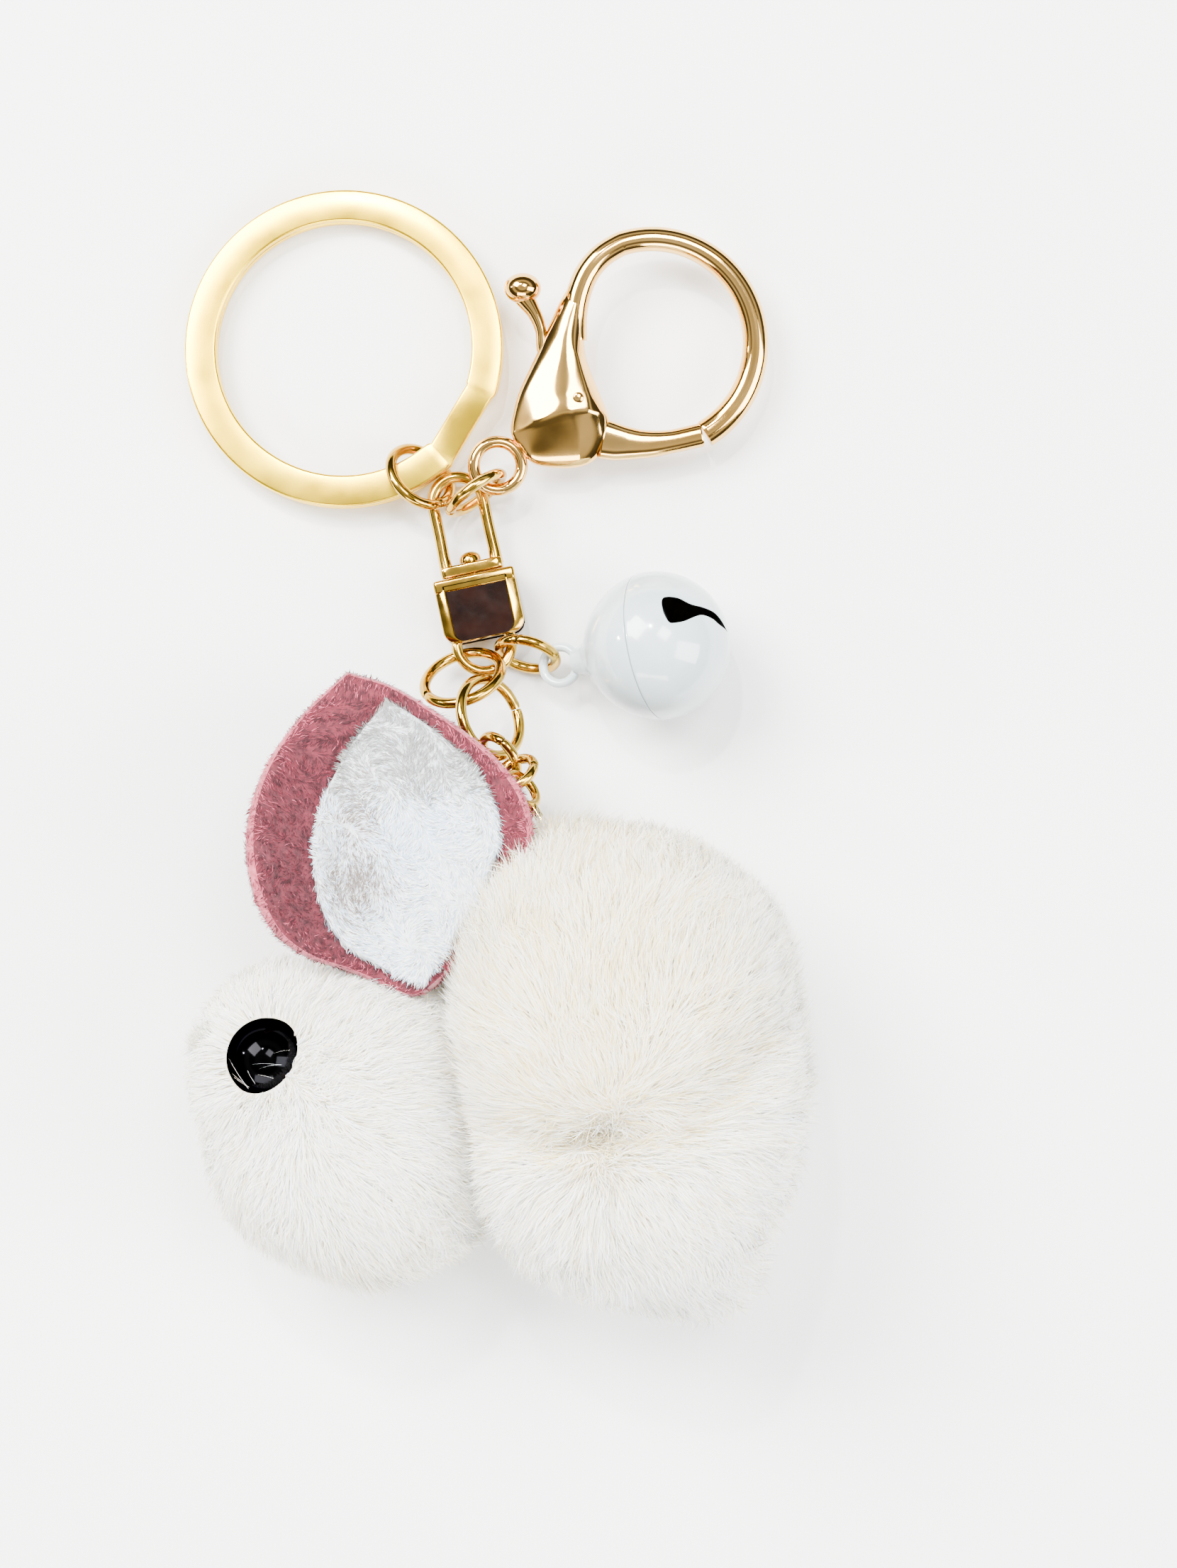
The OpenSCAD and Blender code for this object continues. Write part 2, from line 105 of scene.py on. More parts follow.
def finish_piece(name, me, mats, body, nodes=(), index=None):
    """Turns a mesh into a smooth shaded piece, with its materials, body, replaced nodes and slot."""
    for m in mats if isinstance(mats, list) else [mats]:
        me.materials.append(m)
    if index is not None:
        me.polygons.foreach_set("material_index", np.asarray(index, np.int32))
    me.polygons.foreach_set("use_smooth", np.full(len(me.polygons), True))
    me.update()
    o = add_object(name, me)
    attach(o, body)
    if nodes:
        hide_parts(*nodes)
    return o


def weld(me):
    """Joins doubled points and turns every face outwards."""
    bm = bmesh.new()
    bm.from_mesh(me)
    bmesh.ops.remove_doubles(bm, verts=bm.verts, dist=1e-6)
    bmesh.ops.recalc_face_normals(bm, faces=bm.faces)
    bm.to_mesh(me)
    bm.free()


def apply_all(o):
    """Applies every modifier of the object to its mesh."""
    dg = bpy.context.evaluated_depsgraph_get()
    me = bpy.data.meshes.new_from_object(o.evaluated_get(dg), preserve_all_data_layers=True, depsgraph=dg)
    old = o.data
    o.modifiers.clear()
    o.data = me
    bpy.data.meshes.remove(old)


def bevel(o, width, segments, angle=35):
    b = o.modifiers.new("bevel", "BEVEL")
    b.width, b.segments = width * MM, segments
    b.limit_method, b.angle_limit = "ANGLE", math.radians(angle)
    b.harden_normals = False
    apply_all(o)
    sharpen(o)


def sharpen(o, angle=40):
    o.data.set_sharp_from_angle(angle=math.radians(angle))


def subdivide(o, levels):
    s = o.modifiers.new("sub", "SUBSURF")
    s.levels = s.render_levels = levels
    apply_all(o)


def join(parts):
    """Joins lists of (verts, faces) into one."""
    verts, faces, n = [], [], 0
    for v, f in parts:
        verts.append(np.asarray(v, float))
        faces += [[i + n for i in q] for q in f]
        n += len(v)
    return np.vstack(verts), faces


def bands(rings, m, wrap=False):
    """Faces between rings of m points each; wrap also joins the last ring to the first."""
    return [[i * m + k, i * m + (k + 1) % m, (i + 1) % rings * m + (k + 1) % m, (i + 1) % rings * m + k]
            for i in range(rings if wrap else rings - 1) for k in range(m)]


def sweep(path, section, closed=False, up=(0, 0, 1)):
    """A tube along path. section(i) gives (side, up) offsets; up is the way that its height points."""
    path = np.asarray(path, float)
    if closed:
        tan = unit(np.roll(path, -1, 0) - np.roll(path, 1, 0))
    else:
        tan = unit(np.gradient(path, axis=0))
    side = unit(np.cross(tan, np.broadcast_to(np.asarray(up, float), path.shape)))
    high = unit(np.cross(side, tan))
    verts = []
    for i in range(len(path)):
        q = np.asarray(section(i))
        verts.append(path[i] + q[:, :1] * side[i] + q[:, 1:] * high[i])
    n, m = len(path), len(verts[0])
    faces = bands(n, m, closed)
    if not closed:
        faces.append(list(range(m))[::-1])
        faces.append([(n - 1) * m + k for k in range(m)])
    return np.vstack(verts), faces


def circle(radius, m=96):
    a = np.linspace(0, TAU, m, endpoint=False)
    return np.c_[radius * np.cos(a), radius * np.sin(a), 0 * a]


def ellipse(a, b, m=20, power=1.0):
    t = np.linspace(0, TAU, m, endpoint=False)
    c, s = np.cos(t), np.sin(t)
    return np.c_[a * np.sign(c) * abs(c) ** power, b * np.sign(s) * abs(s) ** power]


def rounded_box(w, h, r):
    """Section of width w and height h, with corners of radius r in four steps."""
    pts = []
    for sx, sy, a0 in ((1, 1, 0), (-1, 1, 90), (-1, -1, 180), (1, -1, 270)):
        for a in np.radians(np.linspace(a0, a0 + 90, 5)):
            pts.append((sx * (w / 2 - r) + r * math.cos(a), sy * (h / 2 - r) + r * math.sin(a)))
    return np.array(pts)


def lathe(profile, m, closed=False):
    """Revolves (radius, height) pairs about z; a radius of 0 closes the end, closed joins last to first."""
    verts, faces, rings = [], [], []
    for r, z in profile:
        if r < 1e-6:
            rings.append([len(verts)] * m)
            verts.append((0, 0, z))
        else:
            rings.append(list(range(len(verts), len(verts) + m)))
            verts += [(r * math.cos(TAU * k / m), r * math.sin(TAU * k / m), z) for k in range(m)]
    for a, b in zip(rings, rings[1:] + rings[:1] * closed):
        for k in range(m):
            l = (k + 1) % m
            q = [a[k], a[l], b[l], b[k]]
            q = [x for i, x in enumerate(q) if x != q[i - 1]]
            if len(q) > 2:
                faces.append(q)
    return np.array(verts, float), faces


def sphere(radius, m):
    return lathe([(radius * math.sin(b), -radius * math.cos(b)) for b in np.linspace(0, math.pi, 25)], m)


def smooth_curve(points, n, closed=False):
    """Catmull-Rom through the points, n samples evenly by parameter."""
    p = np.asarray(points, float)
    if closed:
        p = np.vstack([p[-1], p, p[0], p[1]])
        t = np.linspace(0, len(points), n, endpoint=False)
    else:
        p = np.vstack([2 * p[0] - p[1], p, 2 * p[-1] - p[-2]])
        t = np.linspace(0, len(points) - 1 - 1e-6, n)
    i = t.astype(int)
    f = (t - i)[:, None]
    a, b, c, d = p[i], p[i + 1], p[i + 2], p[i + 3]
    square, cube = 2 * a - 5 * b + 4 * c - d, 3 * b - a - 3 * c + d
    return 0.5 * (2 * b + (c - a) * f + square * f ** 2 + cube * f ** 3)


# ---- materials

def srgb(colour):
    """Linear red, green, blue and alpha from an sRGB colour in 0 to 255."""
    return (*(c / 255 / 12.92 if c <= 10 else ((c / 255 + 0.055) / 1.055) ** 2.4 for c in colour), 1.0)


def set_inputs(node, **values):
    for key, value in values.items():
        node.inputs[key.replace("_", " ")].default_value = value


def new_material(name):
    m = bpy.data.materials.new(name)
    m.use_nodes = True
    return m, m.node_tree.nodes["Principled BSDF"]


def material(name, dark, light, scale, rough, bump=0.0, metallic=0.0, detail=4.0, stretch=(1, 1, 1),
             **shader):
    """A procedural material: noise mixes two colours, another sets roughness and a third the bump."""
    m, p = new_material(name)
    new, link = m.node_tree.nodes.new, m.node_tree.links.new
    coord = new("ShaderNodeTexCoord")
    mapping = new("ShaderNodeMapping")
    set_inputs(mapping, Scale=stretch)
    link(coord.outputs["Object"], mapping.inputs["Vector"])

    def noise(size, octaves):
        n = new("ShaderNodeTexNoise")
        set_inputs(n, Scale=size, Detail=octaves)
        link(mapping.outputs["Vector"], n.inputs["Vector"])
        return n.outputs["Fac"]

    ramp = new("ShaderNodeValToRGB")
    low, high = ramp.color_ramp.elements
    low.position, low.color = 0.32, srgb(dark)
    high.position, high.color = 0.68, srgb(light)
    link(noise(scale, detail), ramp.inputs["Fac"])
    link(ramp.outputs["Color"], p.inputs["Base Color"])
    span = new("ShaderNodeMapRange")
    set_inputs(span, From_Min=0.3, From_Max=0.7, To_Min=rough[0], To_Max=rough[1])
    link(noise(scale * 2.3, 3.0), span.inputs["Value"])
    link(span.outputs["Result"], p.inputs["Roughness"])
    if bump:
        b = new("ShaderNodeBump")
        set_inputs(b, Strength=0.6, Distance=bump * MM)
        link(noise(scale * 4, 6.0), b.inputs["Height"])
        link(b.outputs["Normal"], p.inputs["Normal"])
    set_inputs(p, Metallic=metallic, **shader)
    return m


def plain(name, colour, rough):
    """One tint of a pile whose colour varies from strand to strand."""
    m, p = new_material(name)
    set_inputs(p, Base_Color=srgb(colour), Roughness=rough)
    return m


GOLD = material("gold_plate", (176, 136, 38), (214, 174, 72), 260, (0.07, 0.17), 0.004, 1.0)
RING_GOLD = material("ring_gold", (244, 200, 8), (250, 210, 24), 120, (0.2, 0.26), 0.002, 1.0,
                     stretch=(1, 1, 4))
PALE_GOLD = material("clasp_gold", (222, 172, 84), (238, 194, 112), 120, (0.05, 0.12), 0.003, 1.0)
# Painted reflection: near-black for the stirrup's flat cheek faces, standing in for the dark surroundings that
# they mirror.
STIRRUP_PAINTED_REFLECTION = material("stirrup_face_painted_reflection", (10, 4, 3), (28, 12, 7), 300, (0.16, 0.26), 0.003,
                     Specular_IOR_Level=0.12)
SEAM = material("wire_end", (90, 60, 25), (120, 85, 40), 900, (0.3, 0.5), 0.004, 1.0)
ENAMEL = material("bell_enamel", (176, 189, 193), (194, 206, 210), 90, (0.10, 0.2), 0.01,
                  Coat_Weight=0.5, Coat_Roughness=0.08)
# Painted shade: near-black for the bell's inner wall and the slot's cut walls, where the shade inside the bell
# falls.
BELL_PAINTED_SHADE = material("bell_inside_painted_shade", (6, 6, 7), (14, 13, 13), 500, (0.5, 0.7), 0.01)
EYE = material("eye_gloss", (10, 10, 11), (17, 17, 19), 200, (0.05, 0.09), 0.0, 1.0,
               Specular_Tint=(0, 0, 0, 1))
BACKING = material("pile_backing", (206, 198, 178), (236, 230, 214), 900, (0.8, 0.95), 0.15, Sheen_Weight=0.3)
THREAD = material("thread", (214, 206, 190), (238, 232, 220), 2500, (0.7, 0.9), 0.05)
PINK = material("pink_felt", (60, 12, 23), (106, 31, 45), 1100, (0.85, 0.97), 0.12, detail=8.0,
                Sheen_Weight=0.25, Sheen_Roughness=0.4)
PINK_EDGE = material("pink_felt_cut_edge", (150, 60, 75), (182, 90, 104), 1500, (0.85, 0.97), 0.12,
                     detail=8.0, Sheen_Weight=0.3)
WHITE_FELT = material("white_felt", (176, 180, 182), (216, 220, 223), 900, (0.85, 0.97), 0.14, detail=8.0,
                      Sheen_Weight=0.3)

# ---- wire and rings

def wire_ring(node, body, at, lean, radius, wire, gap_at):
    """A jump ring: round wire bent to a circle, with its two cut ends almost meeting."""
    gap = 0.05 / radius
    a = np.linspace(gap, TAU - gap, 120) + math.radians(gap_at)
    wobble = 1 + 0.004 * np.sin(2 * a + gap_at)
    path = np.c_[radius * wobble * np.cos(a), radius * wobble * np.sin(a), 0.05 * np.cos(a - a[0])]
    section, last = ellipse(wire / 2, wire / 2), len(path) - 1
    worn_end = {0: 0.86, 1: 0.97, last - 1: 0.97, last: 0.86}
    shape = sweep(path, lambda i: section * worn_end.get(i, 1))
    index = [0] * (len(shape[1]) - 2) + [1, 1]
    make(body + "_wire", shape, [GOLD, SEAM], body, [node], index, (at, leaned(*lean)), 50)


# Node, body, middle, tilt and heading, radius, wire and the heading of the gap.
for ring in (("key_jump_ring", "key_jump", (-18.4, 33.69, 3.27), (46.03, 41.86), 3.71, 1.2, -62),
             ("clasp_jump_ring", "clasp_jump", (-12.26, 31.78, 4.47), (82.8, -54.83), 3.4, 1.2, 200),
             ("stirrup_link", "stirrup_link", (-11.42, 15.32, 3.48), (6.8, 67.9), 3.0, 1.2, 150),
             ("upper_link", "upper_link", (-13.68, 11.55, 5.76), (52, 110), 4.3, 1.2, 215),
             ("lower_link", "lower_link", (-10.58, 7.18, 8.16), (49.9, 20.5), 4.3, 1.2, 20),
             ("small_link", "small_link", (-9.53, 2.99, 8.9), (57.5, -142.1), 2.5, 1.1, 60),
             ("last_link", "last_link", (-7.87, 1.11, 10.8), (57.9, 121.4), 2.3, 1.1, 10),
             ("bell_link", "bell_link", (-6.7, 14.2, 3.6), (65, -104), 3.2, 1.2, 100)):
    wire_ring(*ring)


def key_ring():
    """One flat strip wound twice, with the crank where it climbs from the lower turn to the upper."""
    mid_r, thick, start, step, one_turn = 15.775, 1.1, 312, 31, 329
    end, middle = start + step, start + step / 2
    a = np.concatenate([np.linspace(start - one_turn, start, 190), np.linspace(start, end, 28)[1:],
                        np.linspace(end, end + one_turn, 190)[1:]])
    rise = np.clip((a - start) / step, 0, 1)
    rise = rise * rise * (3 - 2 * rise)
    crank = (a > start) & (a < end)
    straight = mid_r * math.cos(math.radians(step / 2)) / np.cos(np.radians(a - middle))
    r = np.where(crank, straight, mid_r)
    q = np.radians(a)
    path = np.c_[r * np.cos(q), r * np.sin(q), -0.6 + 1.2 * rise]
    full, slim = rounded_box(3.45, thick, 0.28), rounded_box(3.15, thick, 0.28)
    ends = (0, len(a) - 1)
    shape = sweep(path, lambda i: full * 0.93 if i in ends else slim if crank[i] else full)
    make("key_ring_band", shape, RING_GOLD, "key_ring", ["key_ring"],
         at=((-26.85, 47.81, 2.24), leaned(2.8, 125)), sharp=50)


key_ring()

# ---- swivel

SWIVEL = (np.array([-12.6, 22.8, 2.6]), turn("z", 12))


def block(size, centre):
    x, y, z = np.array(size) / 2
    v = np.array([[i, j, k] for k in (-z, z) for j in (-y, y) for i in (-x, x)]) + centre
    return v, [[0, 2, 3, 1], [4, 5, 7, 6], [0, 1, 5, 4], [2, 6, 7, 3], [0, 4, 6, 2], [1, 3, 7, 5]]


def swivel():
    """The bail, which is a wire loop on a rounded plate, and the rivet that it turns on."""
    half, height = 2.75, 10.18
    top = 0.3 + 0.625 + height - half
    legs = [(-half, 0.9, 0), (-half * 1.02, 2.6, 0), (-half, top * 0.6, 0), (-half, top, 0)]
    arc = [(half * math.cos(a), top + half * math.sin(a), 0) for a in np.linspace(math.pi, 0, 9)[1:-1]]
    path = smooth_curve(legs + arc + [(-x, y, z) for x, y, z in legs[::-1]], 110)
    thick = 0.65 + 0.16 * np.clip(1 - (path[:, 1] - 0.9) / 2.2, 0, 1) ** 2
    loop = sweep(path, lambda i: ellipse(thick[i], thick[i]))
    make("bail_loop", loop, GOLD, "bail", ["swivel_bail"], at=SWIVEL)
    m = 72
    hole, edge = ellipse(0.8, 0.8, m), ellipse(3.45, 1.3, m, 0.3)
    rings = [(hole, 0.3), (edge * [0.95, 0.86], 0.3), (edge * [0.985, 0.96], 0.36), (edge, 0.52),
             (edge, 1.33), (edge * [0.985, 0.96], 1.49), (edge * [0.95, 0.86], 1.55), (hole, 1.55)]
    v = np.vstack([np.c_[q[:, 0], np.full(m, y), q[:, 1]] for q, y in rings])
    make("bail_plate", (v, bands(len(rings), m, True)), GOLD, "bail", at=SWIVEL, sharp=60)
    v, f = lathe([(0, 1.15), (0.45, 1.1), (0.85, 0.92), (1.12, 0.62), (1.2, 0.3), (1.2, 0.02), (1.1, 0),
                  (0.75, 0), (0.75, -2.9), (1.2, -2.95), (1.2, -3.2), (0, -3.2)], 48)
    rivet = v @ turn("x", -90).T + [0, 1.65, 0], f
    make("swivel_rivet_head", rivet, GOLD, "stirrup", ["swivel_rivet"], at=SWIVEL, sharp=50)


def stirrup():
    """A folded box: a top plate and two cheeks, each with broad bright edges round a flat face painted
    near-black as a painted dark reflection.
    """
    def outline(inset):
        w, h, r = 4.5 - inset, 7.0 - inset * 0.12, 1.5 - inset * 0.3
        corner = np.linspace(0, math.pi / 2, 10)
        pts = [(-w, -inset * 0.6)]
        pts += [(-w + r - r * math.cos(a), -h + r - r * math.sin(a)) for a in corner]
        pts += [(w - r + r * math.sin(a), -h + r - r * math.cos(a)) for a in corner]
        return np.array(pts + [(w, -inset * 0.6)])

    parts, index = [], []
    levels = [(0.0, 1.7), (0.0, 2.0), (0.1, 2.2), (0.95, 2.5), (1.12, 2.5), (1.2, 2.42), (1.24, 2.38)]
    n, m = len(levels), len(outline(0))
    for s in (1, -1):
        v = np.vstack([np.c_[outline(i), np.full(m, s * z)] for i, z in levels])
        f = bands(n, m) + [[(n - 1) * m + k for k in range(m)], list(range(m))[::-1]]
        parts.append((v, f if s > 0 else [q[::-1] for q in f]))
        # Each cheek's two flat faces take slot 1, the painted dark reflection.
        index += [0] * (len(f) - 2) + [1, 1]
    v, f = lathe([(0.6, -1.8), (0.6, 1.8)], 24)
    parts.append((v + [-0.3, -5.9, 0], f))
    index += [0] * len(f)
    make("stirrup_cheeks", join(parts), [GOLD, STIRRUP_PAINTED_REFLECTION], "stirrup", ["swivel_stirrup"], index,
         SWIVEL, 35)
    top = make("stirrup_top", block((9.0, 1.5, 5.0), (0, -0.6, 0)), GOLD, "stirrup", at=SWIVEL)
    bevel(top, 0.35, 4)


swivel()
stirrup()

# ---- clasp

CLASP = (np.array([-9.9, 34.7, 4.9]), leaned(7, -50))


def cast(name, shape, body, nodes=()):
    """A piece of the clasp in its own metal and frame."""
    return make(name, shape, PALE_GOLD, body, nodes, at=CLASP)


def clasp_shell():
    """The cast teardrop: listed facets on one face, mirrored to the other, joined round the sides."""
    # Rim points go by number, face points by name.
    rim = [(9.6, 21.6), (7.7, 19.6), (6.4, 17.4), (5.5, 15.1), (4.4, 12.5), (3.1, 9.9), (2.0, 7.5),
           (1.5, 5.2), (1.2, 3.4), (2.4, 1.6), (3.7, 0.0), (5.8, -0.3), (8.4, -0.4), (10.8, 0.4), (11.8, 2.1),
           (12.3, 3.8), (12.3, 5.2), (11.9, 6.2), (11.1, 8.2), (10.1, 10.4), (9.45, 12.3), (9.4, 14.8),
           (9.6, 17.3), (10.1, 19.0), (11.2, 20.5)]
    face = {"neck": (10.2, 20.4, 1.35), "c1": (8.6, 18.6, 1.5), "c2": (7.6, 16.2, 1.75),
            "c3": (7.1, 13.4, 2.1), "c4": (6.9, 10.4, 2.5), "c5": (6.9, 7.6, 2.7), "l3": (5.4, 12.9, 1.3),
            "l4": (4.4, 10.1, 1.35), "l5": (3.5, 7.4, 1.35), "l6": (2.8, 5.0, 1.25), "k0": (1.9, 3.6, 1.0),
            "k1": (3.9, 4.5, 2.0), "k2": (6.0, 5.5, 2.65), "k3": (7.8, 5.9, 2.9), "k4": (9.9, 5.8, 2.65),
            "k5": (11.5, 5.7, 1.9), "r2": (8.8, 15.6, 1.5), "r3": (8.5, 12.6, 1.95), "r4": (8.9, 10.4, 2.2),
            "r5": (9.7, 8.2, 2.3), "b1": (4.4, 1.9, 1.25), "b2": (6.6, 1.9, 1.5), "b3": (9.2, 1.8, 1.5),
            "b4": (11.2, 3.9, 1.6)}
    facets = [(0, 1, "c1", "neck"), (1, 2, "c2", "c1"), (2, 3, "l3", "c2"), (3, 4, "l3"), ("l3", "c3", "c2"),
              (4, 5, "l4", "l3"), ("l3", "l4", "c4", "c3"), (5, 6, "l5", "l4"), ("l4", "l5", "c5", "c4"),
              (6, 7, "l6", "l5"), (7, 8, "k0", "l6"), ("l6", "k0", "k1"), ("l5", "l6", "k1"),
              ("l5", "k1", "k2", "c5"), ("c5", "k2", "k3"), (8, 9, "k0"), ("k0", 9, "b1", "k1"),
              (9, 10, "b1"), (10, 11, "b2", "b1"), ("k1", "b1", "b2", "k2"), (11, 12, "b3", "b2"),
              ("k2", "b2", "b3", "k3"), (12, 13, "b3"), (13, 14, "b4", "b3"), ("k3", "b3", "b4", "k4"),
              (14, 15, "b4"), ("k4", "b4", 15, "k5"), (15, 16, "k5"), (16, 17, "k5"), ("k5", 17, 18, "r5"),
              ("k4", "k5", "r5"), ("k3", "k4", "r5", "c5"), (18, 19, "r4", "r5"), ("c5", "r5", "r4", "c4"),
              (19, 20, "r3", "r4"), ("c4", "r4", "r3", "c3"), (20, 21, "r2", "r3"), ("c3", "r3", "r2", "c2"),
              (21, 22, "c1", "r2"), ("c2", "r2", "c1"), (22, 23, "neck", "c1"), (23, 24, "neck"),
              (24, 0, "neck")]
    ridges = [("k0", "k1"), ("k1", "k2"), ("k2", "k3"), ("k3", "k4"), ("k4", "k5"), ("b3", "k3"), ("b3", 12),
              ("k5", 16), ("c3", "r3"), ("r3", "r4"), ("r4", "r5"), ("r5", "k4"), ("k0", 8)]
    n, rim_height = len(rim), 0.6
    number = {k: n + i for i, k in enumerate(face)}
    verts = [(x, y, rim_height) for x, y in rim] + list(face.values())
    top = [[number.get(k, k) for k in q] for q in facets]
    m = len(verts)
    verts = np.array(verts + [(x, y, -z) for x, y, z in verts], float)
    faces = top + [[k + m for k in q[::-1]] for q in top]
    faces += [[k, (k + 1) % n, (k + 1) % n + m, k + m][::-1] for k in range(n)]
    me = new_mesh("clasp_cast", put(verts, *CLASP), faces)
    creases = {}
    for pair in ridges:
        a, b = [number.get(k, k) for k in pair]
        creases[frozenset((a, b))] = creases[frozenset((a + m, b + m))] = 0.6 if "c3" in pair else 0.95
    layer = me.attributes.new("crease_edge", "FLOAT", "EDGE")
    for e in me.edges:
        layer.data[e.index].value = creases.get(frozenset(e.vertices), 0.0)
    weld(me)
    subdivide(finish_piece("clasp_cast", me, PALE_GOLD, "clasp", ["clasp_body"]), 3)


def clasp_hook():
    """The hook's bar, the eye that its jump ring holds, and the end of the rivet."""
    centre, radius = np.array([16.9, 13.3]), 11.3
    a = np.radians(np.linspace(108, -59, 100))
    ring = np.c_[centre[0] + radius * np.cos(a), centre[1] + radius * np.sin(a)]
    root = smooth_curve([(8.3, 13.6), (8.35, 16.3), (8.8, 18.7), (9.75, 20.95), (11.3, 22.75), ring[0],
                         ring[4]], 70)
    root = root[:np.argmin(np.linalg.norm(root - ring[0], axis=1))]
    path = np.vstack([root, ring])
    t = np.linspace(0, 1, len(path))
    half, tall = 1.42 - 0.1 * np.sin(np.pi * t) + 0.1 * t ** 3, 1.45 - 0.05 * t
    bar = sweep(np.c_[path, 0 * t], lambda i: ellipse(half[i], tall[i], 28, 0.92))
    bevel(cast("clasp_hook_bar", bar, "clasp"), 0.12, 2, 60)
    cast("clasp_eye", sweep(circle(2.6), lambda i: ellipse(0.68, 0.72), True), "clasp")
    v, f = lathe([(0, 2.72), (0.5, 2.7), (0.62, 2.62), (0.62, 0)], 32)
    cast("clasp_pin", (v + [8.6, 7.3, 0], f), "clasp", ["clasp_rivet"])


def clasp_lever():
    """The gate, with a flattened root and a round tip, the thumb arm that ends in a ball, and the spring."""
    gate = smooth_curve([(11.4, 3.0), (13.4, 2.6), (16.2, 2.45), (19.0, 2.75), (22.35, 3.5)], 50)
    t = np.linspace(0, 1, 50)
    half = np.interp(t, [0, 0.2, 0.45, 0.75, 1], [2.2, 2.05, 1.6, 1.3, 1.32])
    tall = np.interp(t, [0, 0.3, 1], [1.15, 1.3, 1.35])
    bar = sweep(np.c_[gate, 0 * t], lambda i: ellipse(half[i], tall[i], 28, 0.7))
    bevel(cast("clasp_gate", bar, "lever", ["clasp_lever"]), 0.15, 2, 60)
    arm = smooth_curve([(5.6, 10.6), (4.9, 12.6), (4.7, 14.6), (4.1, 16.3), (2.9, 18.2)], 40)
    t = np.linspace(0, 1, 40)
    half = np.interp(t, [0, 0.5, 0.8, 1], [0.7, 0.62, 0.8, 1.15])
    tall = np.interp(t, [0, 0.5, 1], [0.8, 0.8, 1.1])
    v, f = sphere(1.8, 48)
    parts = [sweep(np.c_[arm, 0 * t - 0.1], lambda i: ellipse(half[i], tall[i])),
             (v * [1.12, 0.92, 1.0] + [2.7, 19.15, 0], f)]
    cast("clasp_thumb", join(parts), "lever")
    pivot, radius = (8.5, 5.4), 1.3
    a = np.linspace(0, 2 * TAU, 90)
    coil = sweep(np.c_[pivot[0] + radius * np.cos(a), pivot[1] + radius * np.sin(a), 0.5 + 0.3 * a / TAU],
                 lambda i: ellipse(0.14, 0.14, 10))
    make("clasp_coil", coil, GOLD, "clasp", ["clasp_spring"], at=CLASP)


clasp_shell()
clasp_hook()
clasp_lever()

# ---- bell

LOOP_AT, BALL_AT, BALL_R, PELLET_R = np.array([-3.1, 13, 4.0]), np.array([7.3, 14.9, 8.0]), 8.0, 2.3
REACH = float(np.linalg.norm(BALL_AT - LOOP_AT))


def bell_frame():
    """Axes at the bell's loop, as columns, with x towards the ball."""
    x = unit(BALL_AT - LOOP_AT)
    y = unit(np.cross([0, 0, 1.0], x))
    return np.stack([x, y, np.cross(x, y)], axis=1)


